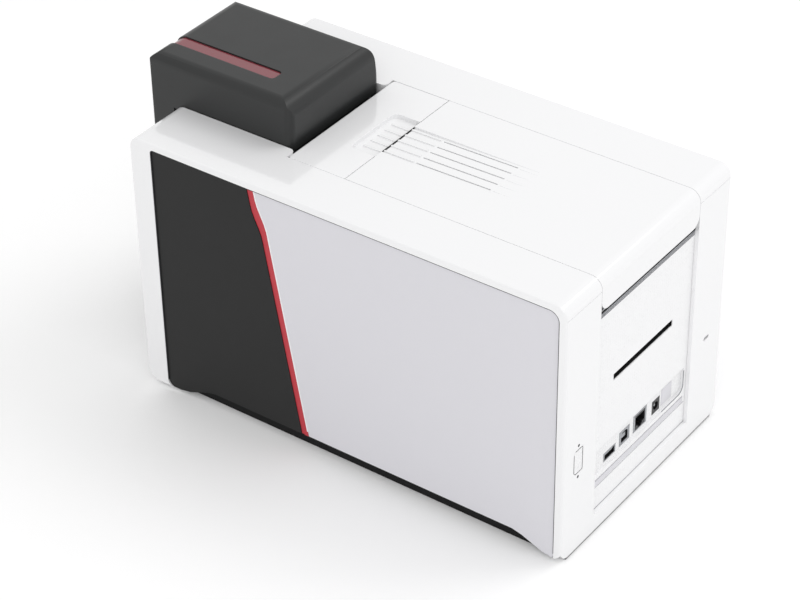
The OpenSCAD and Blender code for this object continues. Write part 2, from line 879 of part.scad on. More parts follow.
module plate_foot() {
    floor_z = tray_z + tray_t;
    for (y = plate_feet) {
        block([-plate_x - 12, y, floor_z], [-plate_x + plate_t, y + foot_l, floor_z + plate_t]);
        block([-plate_x, y, floor_z], [-plate_x + plate_t, y + foot_l, plate_z0 + 2]);
    }
}

module left_frame_plate() {
    color(steel) {
        difference() {
            along_x(-plate_x, -plate_in) plate_outline();
            rod(-plate_x - 1, 0, [pinion_y, pinion_z], 8);
        }
        plate_foot();
        for (y = [(feed_y + transport_y) / 2, (transport_y + platen_y) / 2,
                (platen_y + exit_y) / 2, pick_y + gear_m * (roller_teeth + pick_idler_teeth) / 2]) {
            rod(gear_x - gear_w - 1.6, -plate_in, [y, drive_z], shaft_r);
            rod(gear_x + 0.3, -plate_x, [y, drive_z], shaft_r + 2);
            rod(gear_x - gear_w - 1.6, gear_x - gear_w - 0.4, [y, drive_z], shaft_r + 1.5);
        }
    }
}

module right_frame_plate() {
    color(steel) {
        along_x(plate_in, plate_x) plate_outline();
        mirror([1, 0, 0]) plate_foot();
    }
}

module frame_crossbars() {
    color(steel)
        for (p = crossbars) rod(-plate_in, plate_in, p, crossbar_r);
}

module card_guide() {
    y1 = panel_y - throat_l - 0.2;
    bed = card_z - 0.8;
    color("#3a3b3e") difference() {
        union() {
            block([-plate_in, -96, bed - 2.8], [plate_in, y1, bed]);
            both_sides()
                block([card_w / 2 + card_clear, -80, bed - 2.8],
                    [card_w / 2 + card_clear + 3, y1, card_z + 2.6]);
        }
        for (y = [feed_y, transport_y, platen_y, exit_y])
            block([-roller_w / 2 - 0.6, y - roller_r - 0.8, card_z - 5],
                [roller_w / 2 + 0.6, y + roller_r + 0.8, card_z + 5]);
        for (y = [feed_y, transport_y, exit_y])
            block([-roller_w / 2 - 0.6, y - cleaner_r - 0.8, bed],
                [roller_w / 2 + 0.6, y + cleaner_r + 0.8, card_z + 5]);
        block([-roller_w / 2 - 2, head_y0 - 8, card_z - 0.5], [roller_w / 2 + 2, head_y1 + 8, card_z + 5]);
        for (y = [feed_y, transport_y, platen_y, exit_y])
            rod(-plate_x, plate_x, [y, drive_z], shaft_r + 0.4);
    }
}

module drive_motor() {
    half = motor_w / 2;
    color("#4b4c50") difference() {
        union() {
            along_x(-plate_in, -plate_in + motor_l)
                rounded([pinion_y - half, pinion_z - half], [pinion_y + half, pinion_z + half],
                    [1, 1, 1, 1] * 4);
            rod(-plate_x - 0.5, -plate_in + 1, [pinion_y, pinion_z], 7.5);
        }
        rod(-plate_x - 2, -plate_in + 22, [pinion_y, pinion_z], motor_shaft_r + run_fit);
    }
}

module main_board() {
    color("#2f6b45") {
        block([-board_x, board_y0, board_z], [board_x, panel_y - 10, board_z + board_t]);
        for (c = board_chips)
            block([c[0] - c[2] / 2, board_y0 + c[1] - c[2] / 2, board_z + board_t],
                [c[0] + c[2] / 2, board_y0 + c[1] + c[2] / 2, board_z + board_t + 1.8]);
    }
}

// ---- Front ---------------------------------------------------------------

module column_plan(inset) {
    r = max(0, column_r - inset);
    rounded([-feeder_x + inset, column_y + inset], [feeder_x - inset, shell_y + 19], [r, r, 0, 0]);
}

module front_fascia() {
    color(black) difference() {
        union() {
            along_z(foot_h + 1.6, skirt_z - 0.5) column_plan(0);
            both_sides() block([feeder_x - 1, shell_y + 11, 24], [notch_x, shell_y + 19, skirt_z - 6]);
        }
        along_z(foot_h + 1.6 + wall, skirt_z + 1) {
            column_plan(wall);
            translate([-feeder_x + wall, shell_y + 18]) square([feeder_w - 2 * wall, 5]);
        }
        // mouth of the output bin
        along_y(column_y - 1, column_y + wall + 5)
            rounded([-hopper_x - 2, bin_z0], [hopper_x + 2, bin_z1], [1, 1, 1, 1] * 5);
        // control button and status light
        translate([0, column_y - 1, button_z]) rotate([-90, 0, 0]) cylinder(r = 7.4, h = wall + 2);
        along_y(column_y - 1, column_y + wall + 1) light_bar(0);
    }
}

// Outline of the status light, grown by gap.
module light_bar(gap) {
    half = [20 + gap, 1.7 + gap];
    translate([0, light_z]) rounded(-half, half, [1, 1, 1, 1] * (half[1] - 0.1));
}

module status_light() {
    color("#dfe8ee") {
        along_y(column_y + 0.2, column_y + wall + 1) light_bar(-0.1);
        along_y(column_y + wall, column_y + wall + 1.5) light_bar(2);
    }
}

module control_button() {
    color("#8d8f94") {
        translate([0, column_y + 0.3, button_z]) rotate([-90, 0, 0]) cylinder(r = 7, h = 5);
        translate([0, column_y + wall + 0.3, button_z]) rotate([-90, 0, 0]) cylinder(r = 8.6, h = 1.4);
    }
}

module output_bin() {
    x = hopper_x + 2;
    color("#3d3e42") {
        difference() {
            block([-x - bin_wall, column_y + wall, bin_z0 - bin_wall],
                [x + bin_wall, bin_y1, bin_z1 + bin_wall]);
            block([-x, column_y, bin_z0], [x, bin_y1 - bin_wall, bin_z1]);
            block([-x, bin_y1 - 26, bin_z1 - 1], [x, bin_y1 - bin_wall, bin_z1 + 5]);
        }
        both_sides()
            for (z = bin_tabs)
                block([x + bin_wall, plate_y0 + 8, z], [plate_in, plate_y0 + 14, z + 6]);
    }
}

module input_hopper() {
    x = hopper_x;
    w = hopper_wall;
    color("#2e2f33") {
        difference() {
            union() {
                block([-x - w, hopper_y0 - w, hopper_z - w], [x + w, hopper_y1 + w, deck_z]);
                block([-feeder_x + 0.6, shell_y + 3, deck_z - deck_t], [feeder_x - 0.6, lid_y1 + 2, deck_z]);
            }
            block([-x, hopper_y0, hopper_z], [x, hopper_y1, deck_z + 1]);
            // window for the pick roller
            block([-pick_w / 2 - 2, pick_y - 11, hopper_z - w - 1], [pick_w / 2 + 2, pick_y + 11, hopper_z + 1]);
            // card gate at the foot of the rear wall
            block([-x, hopper_y1 - 1, hopper_z], [x, hopper_y1 + w + 1, hopper_z + 1.4]);
        }
        both_sides() {
            // feet on the frame plates
            block([x + w, plate_y0 + 2, plate_z1 + 2], [plate_x, plate_y0 + 28, plate_z1 + 5]);
            block([plate_in, plate_y0 + 2, plate_z1], [plate_x, plate_y0 + 28, plate_z1 + 2]);
            // goose-neck arms that hold the lid's hinge
            difference() {
                union() {
                    rod(lid_ear_x - lid_ear_w / 2, lid_ear_x + lid_ear_w / 2, lid_pivot, lid_pivot_r);
                    block([lid_ear_x - lid_ear_w / 2, lid_pivot[0] - neck_l, lid_pivot[1] - lid_pivot_r],
                        [lid_ear_x + lid_ear_w / 2, lid_pivot[0], lid_pivot[1] + lid_pivot_r]);
                    block([lid_ear_x - lid_ear_w / 2, lid_pivot[0] - neck_l, deck_z - 1],
                        [lid_ear_x + lid_ear_w / 2, lid_pivot[0] - neck_l + 6, lid_pivot[1]]);
                }
                rod(0, lid_ear_x + lid_ear_w, lid_pivot, lid_pin_r);
            }
        }
    }
}

module lid_hinge_pins() {
    color(steel) both_sides()
        rod(lid_ear_x - lid_ear_w / 2 - 5, lid_ear_x + lid_ear_w / 2 + 5, lid_pivot, lid_pin_r);
}

// ---- Feeder lid ----------------------------------------------------------

// Cross-section of the lid, whose left wall leans in above the shell.
module lid_section(inset) {
    left = -feeder_x + inset;
    right = feeder_x - inset;
    top = feeder_h - inset;
    knee_z = lid_z - inset * tan(lid_lean / 2);
    corner = [left + (top - knee_z) * tan(lid_lean), top];
    difference() {
        polygon([[left, skirt_z - 1], [right, skirt_z - 1], [right, top], corner, [left, knee_z]]);
        soften([right, top], [-1, 0], [0, -1], max(0.4, lid_right_r - inset));
        soften(corner, [1, 0], [-sin(lid_lean), -cos(lid_lean)], max(0.4, lid_left_r - inset));
    }
}

// Solid form of the lid with all its outer faces moved in by inset.
module lid_form(inset) {
    y0 = column_y + inset;
    y1 = lid_y1 - inset;
    x = feeder_x - inset;
    front_r = max(0, column_r - inset);
    rear_r = max(0.4, lid_r - inset);
    intersection() {
        along_z(skirt_z - 1, feeder_h + 1)
            rounded([-x, y0], [x, y1], [front_r, front_r, rear_r, rear_r]);
        along_x(-feeder_x, feeder_x) {
            rounded([y0, lid_z], [y1, feeder_h - inset], [0, 0, lid_rear_r - inset, lid_front_r - inset]);
            translate([y0, skirt_z]) square([lid_skirt_y - y0, lid_z + 1 - skirt_z]);
        }
        along_y(column_y - 1, lid_y1 + 1) lid_section(inset);
    }
}

// Part of the lid's surface under the window channel, shrunk by gap.
module window_mask(gap) {
    along_z(feeder_h - 15 + gap, feeder_h + 1)
        rounded([window_x - window_w + gap, column_y - 5], [window_x - gap, column_y + window_l - gap],
            [0, 0, 3, 3]);
}

module feeder_lid() {
    half = lid_ear_w / 2 + 0.4;
    color("#3c3c3e") {
        difference() {
            lid_form(0);
            lid_form(lid_wall);
            // open underside
            block([-feeder_x + lid_wall, column_y + lid_wall, skirt_z - 1],
                [feeder_x - lid_wall, lid_skirt_y + 1, lid_z + 0.5]);
            block([-feeder_x + lid_wall, lid_skirt_y - 1, lid_z - 1],
                [feeder_x - lid_wall, lid_y1 - lid_wall, lid_z + 0.5]);
            // channel of the window strip
            difference() {
                intersection() {
                    lid_form(-join);
                    window_mask(0);
                }
                lid_form(window_depth);
            }
        }
        // knuckles on the inside of the rear wall
        both_sides() difference() {
            for (x = [lid_ear_x - half - 4, lid_ear_x + half])
                union() {
                    rod(x, x + 4, lid_pivot, lid_pivot_r);
                    block([x, lid_pivot[0], lid_pivot[1] - lid_pivot_r],
                        [x + 4, lid_y1 - lid_wall + join, lid_pivot[1] + lid_pivot_r]);
                }
            rod(0, feeder_x, lid_pivot, lid_pin_r + run_fit);
        }
    }
}

module lid_window() {
    color(red) difference() {
        intersection() {
            lid_form(window_depth - window_t);
            window_mask(0.1);
        }
        lid_form(window_depth);
    }
}

// ---- Hood ----------------------------------------------------------------

// Height of the ridged field's floor at y; it is deepest at the parting line.
function field_z(y) = shell_h - field_depth * (1 - (y - hood_y) / field_l);

// Wedge of air in the ridged field, lifted off its floor.
module field_air(lift) {
    y1 = hood_y + field_l;
    along_x(-field_w / 2, field_w / 2)
        polygon([[hood_y - 1, field_z(hood_y - 1) + lift], [y1, shell_h + lift],
            [y1, shell_h + 5], [hood_y - 1, shell_h + 5]]);
}

function ridge_x(i) = (i - (ridge_count - 1) / 2) * ridge_pitch;

module ridges(y0, y1) {
    for (i = [0:ridge_count - 1])
        block([ridge_x(i) - ridge_w / 2, y0, shell_h - 12], [ridge_x(i) + ridge_w / 2, y1, shell_h + 2]);
}

// Plan and profile of the hood, moved in by inset.
module hood_form(inset) {
    x = hood_x - inset;
    y0 = hood_y + inset;
    y1 = rear_y - inset;
    top = shell_h - inset;
    r = shell_r - inset;
    intersection() {
        along_x(-x, x) {
            rounded([y0, shell_h - hood_rim], [y1, top], [0, 0, r, 0]);
            rounded([rear_y - 12, lip_z], [y1, top], [0, 0, r, 0]);
        }
        along_y(hood_y - 1, rear_y + 1)
            rounded([-x, lip_z], [x, top], [1, 1, 0, 0] * max(1, lip_r - inset));
    }
}

module hood() {
    half = knuckle_w / 2;
    x = hood_x - wall;
    color(white) {
        difference() {
            hood_form(0);
            difference() {
                along_x(-x, x)
                    rounded([hood_y + wall, lip_z - 5], [rear_y - wall, shell_h - wall],
                        [0, 0, shell_r - wall, 0]);
                // thicker skin under the ridged field
                along_x(-field_w / 2 - wall, field_w / 2 + wall)
                    polygon([[hood_y, shell_h], [hood_y + field_l, shell_h],
                        [hood_y + field_l, shell_h - wall], [hood_y, field_z(hood_y) - wall]]);
            }
            // ridged field, with its ridges left standing
            difference() {
                field_air(0);
                difference() {
                    union() {
                        ridges(hood_y - 1, hood_y + vent_at - 2);
                        ridges(hood_y + vent_at + vent_l + 2, hood_y + field_l);
                    }
                    field_air(ridge_h);
                }
            }
            // vent slots
            for (i = [0:ridge_count - 1])
                block([ridge_x(i) - vent_w / 2, hood_y + vent_at, shell_h - 15],
                    [ridge_x(i) + vent_w / 2, hood_y + vent_at + vent_l, shell_h + 1]);
        }
        both_sides() {
            hood_knuckle(knuckle_x - half, knuckle_x + half, run_fit)
                block([knuckle_x - half, hood_pivot[0] - hood_pivot_r, hood_pivot[1]],
                    [knuckle_x + half, rear_y - wall + join, shell_h - wall - 4]);
        }
    }
}

module printhead_bracket() {
    x = 30;
    top = shell_h - wall;
    color(steel) {
        both_sides() {
            block([x, head_y0, head_z + 6], [x + 2, head_y1, top]);
            block([x, head_y0, top - 2], [x + 14, head_y1, top]);
        }
        block([-x, head_y1 - 2, head_z + 6], [x, head_y1, head_z + 46]);
        block([-x, head_y0, head_z + 6], [x, head_y1, head_z + 8]);
    }
}

module printhead() {
    color("#c9b27c") difference() {
        union() {
            block([-30, head_y0, head_z + 1.2], [30, head_y1, head_z + 6]);
            block([-30, platen_y - 3, head_z], [30, platen_y + 3, head_z + 1.3]);
        }
        for (x = [-27:6:27]) block([x - 1.2, head_y0 - 1, head_z + 3], [x + 1.2, platen_y - 4, head_z + 5]);
    }
}

module latch_catches() {
    y = hood_y + wall;
    z = hook_top - hook_t - catch_gap - catch_t;
    color(steel) both_sides() {
        block([hook_x - 4, y, z], [hook_x + 4, y + 1.6, shell_h - wall]);
        block([hook_x - 4, y - 4.2, z], [hook_x + 4, y + 1.6, z + catch_t]);
    }
}

// ---- Release bar and latch -----------------------------------------------

module bar_form(inset) {
    x = hood_x - inset;
    intersection() {
        along_x(-x, x)
            rounded([bar_y0 + inset, shell_h - hood_rim], [bar_y1 - inset, shell_h - inset],
                [0, 0, 0, max(0.3, 1.5 - inset)]);
        along_z(shell_h - hood_rim - 1, shell_h + 1)
            rounded([-x, bar_y0 + inset], [x, bar_y1 - inset], [3, 3, 0, 0]);
    }
}

module release_bar() {
    y0 = hood_y - grip_l;
    floor_z = shell_h - grip_depth;
    post_top = shell_h - wall + join;
    color(white) {
        difference() {
            bar_form(0);
            difference() {
                block([-hood_x + wall, bar_y0 + wall, shell_h - hood_rim - 1],
                    [hood_x - wall, bar_y1 - wall, shell_h - wall]);
                block([-grip_w / 2 - wall, y0 - wall, floor_z - wall],
                    [grip_w / 2 + wall, bar_y1, shell_h]);
            }
            // grip scoop with its ridges left standing
            difference() {
                along_z(floor_z, shell_h + 1)
                    rounded([-grip_w / 2, y0], [grip_w / 2, bar_y1 + 1], [5, 5, 0, 0]);
                for (i = [0:ridge_count - 1])
                    block([ridge_x(i) - ridge_w / 2, y0 + 4.5, floor_z - 1],
                        [ridge_x(i) + ridge_w / 2, bar_y1 + 1, floor_z + ridge_h]);
            }
            block([-grip_w / 2, bar_y1 - grip_gap, shell_h - hood_rim - 1],
                [grip_w / 2, bar_y1 + 1, shell_h + 1]);
        }
        both_sides() translate([post_x, post_y, bridge_z - 6]) cylinder(r = post_r, h = post_top - bridge_z + 6);
    }
}

module latch_bridge() {
    color("#2e2f33") difference() {
        union() {
            block([-plate_x - 6, bar_y0 + 3, bridge_z], [plate_x + 6, bar_y1 - 4, bridge_z + bridge_t]);
            both_sides() translate([post_x, post_y, bridge_z - 5]) cylinder(r = 3.9, h = 5 + bridge_t);
        }
        both_sides() translate([post_x, post_y, bridge_z - 7]) cylinder(r = post_r + run_fit, h = 20);
        both_sides() block([hook_x - 6, hook_pivot[0] - 8, bridge_z - 1], [hook_x + 6, bar_y1, bridge_z + 5]);
    }
}

module latch_hooks() {
    y = hook_pivot[0];
    color("#7a7c80") {
        rod(-plate_x, plate_x, hook_pivot, hook_pin_r);
        both_sides() {
            block([hook_x - 3.5, y - 2.2, hook_pivot[1]], [hook_x + 3.5, y + 2.2, hook_top]);
            block([hook_x - 3.5, y - 2.2, hook_top - hook_t], [hook_x + 3.5, hood_y - 2.2, hook_top]);
        }
    }
}

// One coil spring as a swept ring, standing on the latch bridge.
module spring(x) {
    steps = 12;
    sides = 5;
    z0 = bridge_z + bridge_t + spring_wire + 0.1;
    z1 = shell_h - wall - spring_wire - 0.1;
    rings = steps * spring_turns;
    points = [for (i = [0:rings]) let (a = 360 * i / steps, z = z0 + (z1 - z0) * i / rings)
        for (k = [0:sides - 1]) let (b = 360 * k / sides, r = spring_r + spring_wire * cos(b))
            [x + r * cos(a), post_y + r * sin(a), z + spring_wire * sin(b)]];
    polyhedron(points, concat(
        [[for (k = [0:sides - 1]) k]],
        [for (i = [0:rings - 1], k = [0:sides - 1]) let (n = (k + 1) % sides)
            [i * sides + k, (i + 1) * sides + k, (i + 1) * sides + n, i * sides + n]],
        [[for (k = [sides - 1:-1:0]) rings * sides + k]]
    ));
}

module latch_springs() {
    color(steel) {
        spring(post_x);
        spring(-post_x);
    }
}

// ---- Rollers -------------------------------------------------------------

// A driven roller: shaft through both plates and a sleeve between them.
module driven_roller(y, r, half) {
    rod(gear_x - gear_w - 0.5, plate_x + 1.5, [y, drive_z], shaft_r);
    rod(-half, half, [y, drive_z], r);
}

// A driven roller with the moulded gear on its shaft.
module geared_roller(y, r, half, turn) {
    color("#4a4b50") {
        driven_roller(y, r, half);
        gear(roller_teeth, [y, drive_z], turn, shaft_r - join);
    }
}

half_tooth = 180 / roller_teeth;
module pick_roller() { geared_roller(pick_y, pick_r, pick_w / 2, 0); }
module feed_roller() { geared_roller(feed_y, roller_r, roller_w / 2, half_tooth); }
module transport_roller() { geared_roller(transport_y, roller_r, roller_w / 2, half_tooth); }
module exit_roller() { geared_roller(exit_y, roller_r, roller_w / 2, half_tooth); }

module platen_roller() {
    color("#2b2b2e") driven_roller(platen_y, roller_r, roller_w / 2);
}

module platen_gear() {
    color("#e4e2da") gear(roller_teeth, [platen_y, drive_z], half_tooth, shaft_r);
}

module idler(y, teeth, turn) {
    color("#e4e2da") gear(teeth, [y, drive_z], turn, shaft_r + run_fit);
}

module pick_idler() {
    idler((pick_y + feed_y) / 2, pick_idler_teeth, 0);
}
module feed_idler() { idler((feed_y + transport_y) / 2, idler_teeth, 0); }
module transport_idler() { idler((transport_y + platen_y) / 2, idler_teeth, 0); }
module exit_idler() { idler((platen_y + exit_y) / 2, idler_teeth, 0); }

module motor_pinion() {
    color("#c9a655") {
        gear(pinion_teeth, [pinion_y, pinion_z], 90 + 180 / pinion_teeth, 0.001);
        rod(gear_x - 1, -plate_in + 20, [pinion_y, pinion_z], motor_shaft_r);
    }
}

module pinch_roller(y, z, r) {
    rod(-plate_x - 1, plate_x + 1, [y, z], pinch_shaft_r);
    rod(-roller_w / 2, roller_w / 2, [y, z], r);
}

module cleaning_roller() { color("#4f8fc4") pinch_roller(feed_y, cleaner_z, cleaner_r); }
module front_pinch_roller() { color("#55565a") pinch_roller(transport_y, pinch_z, pinch_r); }
module rear_pinch_roller() { color("#55565a") pinch_roller(exit_y, pinch_z, pinch_r); }

// ---- Ribbon --------------------------------------------------------------

module spool(at, wound) {
    rod(-plate_x - 0.5, plate_x + 0.5, at, shaft_r);
    rod(-ribbon_w / 2, ribbon_w / 2, at, wound);
    both_sides() rod(ribbon_w / 2, ribbon_w / 2 + 1.6, at, spool_r);
}

module supply_spool() { color("#5a4fa3") spool(supply, ribbon_r); }
module take_up_spool() { color("#38383c") spool(take_up, ribbon_r - 4); }

// Point where a line from p touches a circle, on its lower or left side.
function touch(c, r, p, side) = let (
    d = norm(c - p),
    to = atan2(p[1] - c[1], p[0] - c[0]),
    a = to + side * acos(r / d)
) c + r * [cos(a), sin(a)];

module ribbon_film() {
    gap = 0.3 + film_t;
    b = [head_y0 - 4, film_z];
    a = [head_y1 + 4, film_z];
    s = touch(supply, ribbon_r + gap, a, -1);
    t = touch(take_up, ribbon_r - 4 + gap, b, 1);
    up = [0, film_t];
    color("#8a2f6a") along_x(-ribbon_w / 2 + 1, ribbon_w / 2 - 1)
        polygon([t, b, a, s, s + up, a + up, b + up, t + up]);
}

// ---- Assembly ------------------------------------------------------------

base_tray();
rubber_feet();
left_housing();
right_housing();
left_dark_panel();
right_dark_panel();
left_light_panel();
right_light_panel();
left_stripe();
right_stripe();
rear_panel();
rear_sill();
usb_a_port();
usb_b_port();
ethernet_port();
power_inlet();
inlet_pin();
serial_knockout();
lock_slot();
hood_hinge_bracket();
hood_hinge_pins();
left_frame_plate();
right_frame_plate();
frame_crossbars();
card_guide();
front_fascia();
output_bin();
status_light();
control_button();
input_hopper();
lid_hinge_pins();
feeder_lid();
lid_window();
hood();
printhead_bracket();
printhead();
latch_catches();
release_bar();
latch_springs();
latch_hooks();
latch_bridge();
pick_roller();
pick_idler();
feed_roller();
feed_idler();
transport_roller();
transport_idler();
platen_roller();
platen_gear();
exit_idler();
exit_roller();
motor_pinion();
drive_motor();
cleaning_roller();
front_pinch_roller();
rear_pinch_roller();
main_board();
supply_spool();
take_up_spool();
ribbon_film();
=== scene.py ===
"""Looks of a desktop card printer: a white shell round a dark top feeder.

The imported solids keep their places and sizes. The outer mouldings are shown by
softened copies of themselves, small fittings are added on the bodies that
carry them, and every solid gets a finish of its own. Lengths are millimetres,
except where a docstring says metres.
"""

import json
import logging
import math
from dataclasses import dataclass
from enum import Enum

import bmesh
import bpy
import numpy as np
from mathutils import Matrix, Vector


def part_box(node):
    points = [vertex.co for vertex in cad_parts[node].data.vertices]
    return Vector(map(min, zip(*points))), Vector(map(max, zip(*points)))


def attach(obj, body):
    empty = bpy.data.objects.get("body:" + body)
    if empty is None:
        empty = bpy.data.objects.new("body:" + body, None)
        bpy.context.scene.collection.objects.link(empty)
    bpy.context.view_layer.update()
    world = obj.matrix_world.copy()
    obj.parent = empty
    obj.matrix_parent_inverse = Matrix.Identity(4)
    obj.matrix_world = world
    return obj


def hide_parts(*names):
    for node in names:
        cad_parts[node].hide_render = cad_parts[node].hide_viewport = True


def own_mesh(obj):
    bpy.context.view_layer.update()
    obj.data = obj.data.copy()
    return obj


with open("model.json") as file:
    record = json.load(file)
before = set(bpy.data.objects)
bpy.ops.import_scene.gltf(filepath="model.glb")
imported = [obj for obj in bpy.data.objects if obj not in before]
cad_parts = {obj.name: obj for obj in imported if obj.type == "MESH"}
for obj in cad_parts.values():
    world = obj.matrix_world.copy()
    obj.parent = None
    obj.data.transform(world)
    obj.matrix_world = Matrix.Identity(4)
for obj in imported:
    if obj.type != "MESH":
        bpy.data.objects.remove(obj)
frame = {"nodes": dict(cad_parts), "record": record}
LOG = logging.getLogger("card_printer")
MM = 0.001
SMOOTH_ANGLE = math.radians(32)  # edges of new pieces sharper than this stay sharp
SOFT_ANGLE = math.radians(34)  # edges of a moulding sharper than this are rounded
SAME_PLACE = 0.000002  # a moulding's corners nearer than this, in metres, are one
SAME_PLANE = math.radians(0.8)  # a moulding's triangles within this are one face
LAP = 0.02  # depth in millimetres by which a part dips into what carries it
SQUARE = 0.01  # radius in millimetres of a corner that stays square
CLOUDS = 14  # clouds of tint per metre of plastic
PATCHES = 60  # patches of gloss per metre of plastic
LACQUER = 0.04  # roughness of a clear lacquer


class Axis(Enum):
    """The axis that a piece is built along or about."""

    X = 0
    Y = 1
    Z = 2

    def across(self) -> list:
        """The two other axes, in the order that keeps a right-handed set."""
        return [(self.value + 1) % 3, (self.value + 2) % 3]


@dataclass(frozen=True)
class Shape:
    """A closed surface.

    Attributes:
        points: Its points in metres.
        quads: Four indices of points for each face; a triangle names one of them twice.
    """

    points: np.ndarray
    quads: np.ndarray


# ---- Shapes --------------------------------------------------------------


def grid_quads(rows: int, columns: int, close_rows: bool = False,
               close_columns: bool = False) -> np.ndarray:
    """Quads between the neighbours of a grid of points.

    Args:
        rows: Number of rows of points.
        columns: Number of points in each row.
        close_rows: Whether the last row joins the first.
        close_columns: Whether each row's last point joins its first.

    Returns:
        An array of quads, one in each row.
    """
    r = np.arange(rows if close_rows else rows - 1)
    c = np.arange(columns if close_columns else columns - 1)
    r, c = np.meshgrid(r, c, indexing="ij")
    up, on = (r + 1) % rows, (c + 1) % columns
    corners = ((r, c), (r, on), (up, on), (up, c))
    return np.stack([row * columns + column for row, column in corners], -1).reshape(-1, 4)


def closed(points: np.ndarray, quads: np.ndarray) -> Shape:
    """Welds points that coincide and turns the faces outwards.

    The sum of the signed volumes of the fans of all faces is positive when
    the faces point outwards.

    Args:
        points: Points of a closed surface, in metres.
        quads: Its quads.

    Returns:
        The shape.
    """
    spots, place = np.unique(np.round(points, 8), axis=0, return_inverse=True)
    quads = place.reshape(-1)[quads]
    a, b, c, d = (spots[quads[:, i]] for i in range(4))
    volume = sum(np.einsum("ij,ij->i", a, np.cross(*edge)).sum() for edge in ((b, c), (c, d)))
    return Shape(spots, quads if volume > 0 else quads[:, ::-1])


def block(low: tuple, high: tuple) -> Shape:
    """A box between two corners.

    Args:
        low: Lowest corner.
        high: Highest corner.

    Returns:
        The shape.
    """
    corner = np.array([[x, y, z] for x in (0, 1) for y in (0, 1) for z in (0, 1)], float)
    low, high = np.asarray(low, float), np.asarray(high, float)
    quads = [[0, 1, 3, 2], [4, 6, 7, 5], [0, 4, 5, 1], [2, 3, 7, 6], [0, 2, 6, 4], [1, 5, 7, 3]]
    return closed((low + corner * (high - low)) * MM, np.array(quads))


def pillow(low: tuple, high: tuple, radius: float, steps: int = 2) -> Shape:
    """A box whose edges and corners are rounded.

    A point is a corner of the inner box plus the radius times the unit vector
    at latitude u and longitude v of that corner's octant.

    Args:
        low: Lowest corner.
        high: Highest corner.
        radius: Radius of the rounding.
        steps: Strips across each rounding.

    Returns:
        The shape.
    """
    low, high = np.asarray(low, float), np.asarray(high, float)
    quarter = np.linspace(0, np.pi / 2, steps + 1)
    lat = np.concatenate([quarter - np.pi / 2, quarter])[:, None]
    up = np.repeat([-1.0, 1.0], steps + 1)[:, None]
    lon = np.concatenate([quarter + k * np.pi / 2 for k in range(4)])
    side = np.repeat([[1, 1], [-1, 1], [-1, -1], [1, -1]], steps + 1, axis=0).astype(float)
    inner = (high - low) / 2 - radius
    grid = np.zeros((len(lat), len(lon), 3))
    grid[..., 0] = side[:, 0] * inner[0] + radius * np.cos(lat) * np.cos(lon)
    grid[..., 1] = side[:, 1] * inner[1] + radius * np.cos(lat) * np.sin(lon)
    grid[..., 2] = up * inner[2] + radius * np.sin(lat)
    cap = np.arange(4) * (steps + 1)
    top = cap + (len(lat) - 1) * len(lon)
    quads = np.vstack([grid_quads(len(lat), len(lon), close_columns=True), cap[::-1], top])
    return closed((grid.reshape(-1, 3) + (low + high) / 2) * MM, quads)


def turned(profile: list, centre: tuple, axis: Axis, steps: int = 32) -> Shape:
    """Turns a profile about an axis.

    The point at angle a is centre + along * axis + radius * (cos a, sin a).
    A profile either closes on itself or starts and ends on the axis.

    Args:
        profile: Rows of (distance along the axis, radius).
        centre: A point on the axis.
        axis: The axis.
        steps: Number of points round the axis.

    Returns:
        The shape.
    """
    along, radius = np.asarray(profile, float).T
    turn = np.linspace(0, 2 * np.pi, steps, endpoint=False)[:, None]
    grid = np.zeros((steps, len(along), 3))
    grid[..., axis.value] = along
    grid[..., axis.across()] = radius[:, None] * np.stack([np.cos(turn), np.sin(turn)], -1)
    loop = radius[0] > 0 or radius[-1] > 0
    quads = grid_quads(steps, len(along), close_rows=True, close_columns=loop)
    return closed((grid + np.asarray(centre, float)).reshape(-1, 3) * MM, quads)


def disc(start: float, end: float, radius: float) -> list:
    """The profile of a plain round plate."""
    return [(start, 0), (start, radius), (end, radius), (end, 0)]


def stacked(outlines: list, places: tuple, axis: Axis) -> np.ndarray:
    """Sets outlines with as many points each along an axis.

    Args:
        outlines: Each outline's points, as places on the two other axes.
        places: Where each outline lies on the axis.
        axis: The axis.

    Returns:
        All the points in metres, outline after outline.
    """
    rows = np.stack(outlines)
    points = np.zeros((*rows.shape[:2], 3))
    points[..., axis.value] = np.array(places)[:, None]
    points[..., axis.across()] = rows
    return points.reshape(-1, 3) * MM


def prism(outline: np.ndarray, axis: Axis, start: float, end: float) -> Shape:
    """A star-shaped outline carried along an axis.

    Args:
        outline: Rows of places on the two other axes.
        axis: The axis.
        start: Where it starts.
        end: Where it ends.

    Returns:
        The shape, whose ends are fans about the outline's middle.
    """
    middle = np.broadcast_to(outline.mean(0), outline.shape)
    points = stacked([middle, outline, outline, middle], (start, start, end, end), axis)
    return closed(points, grid_quads(4, len(outline), close_columns=True))


def ring(outer: np.ndarray, inner: np.ndarray, axis: Axis, span: tuple,
         whole: bool = True) -> Shape:
    """A frame between two outlines with as many points each.

    Args:
        outer: The outer outline.
        inner: The inner outline.
        axis: The axis that the frame is thick along.
        span: Where it starts and ends on the axis.
        whole: Whether it runs all the way round. Otherwise both its ends are capped.

    Returns:
        The shape.
    """
    start, end = span
    points = stacked([outer, outer, inner, inner], (start, end, end, start), axis)
    quads = grid_quads(4, len(outer), close_rows=True, close_columns=whole)
    if not whole:
        cap = np.arange(4) * len(outer)
        quads = np.vstack([quads, cap, cap[::-1] + len(outer) - 1])
    return closed(points, quads)


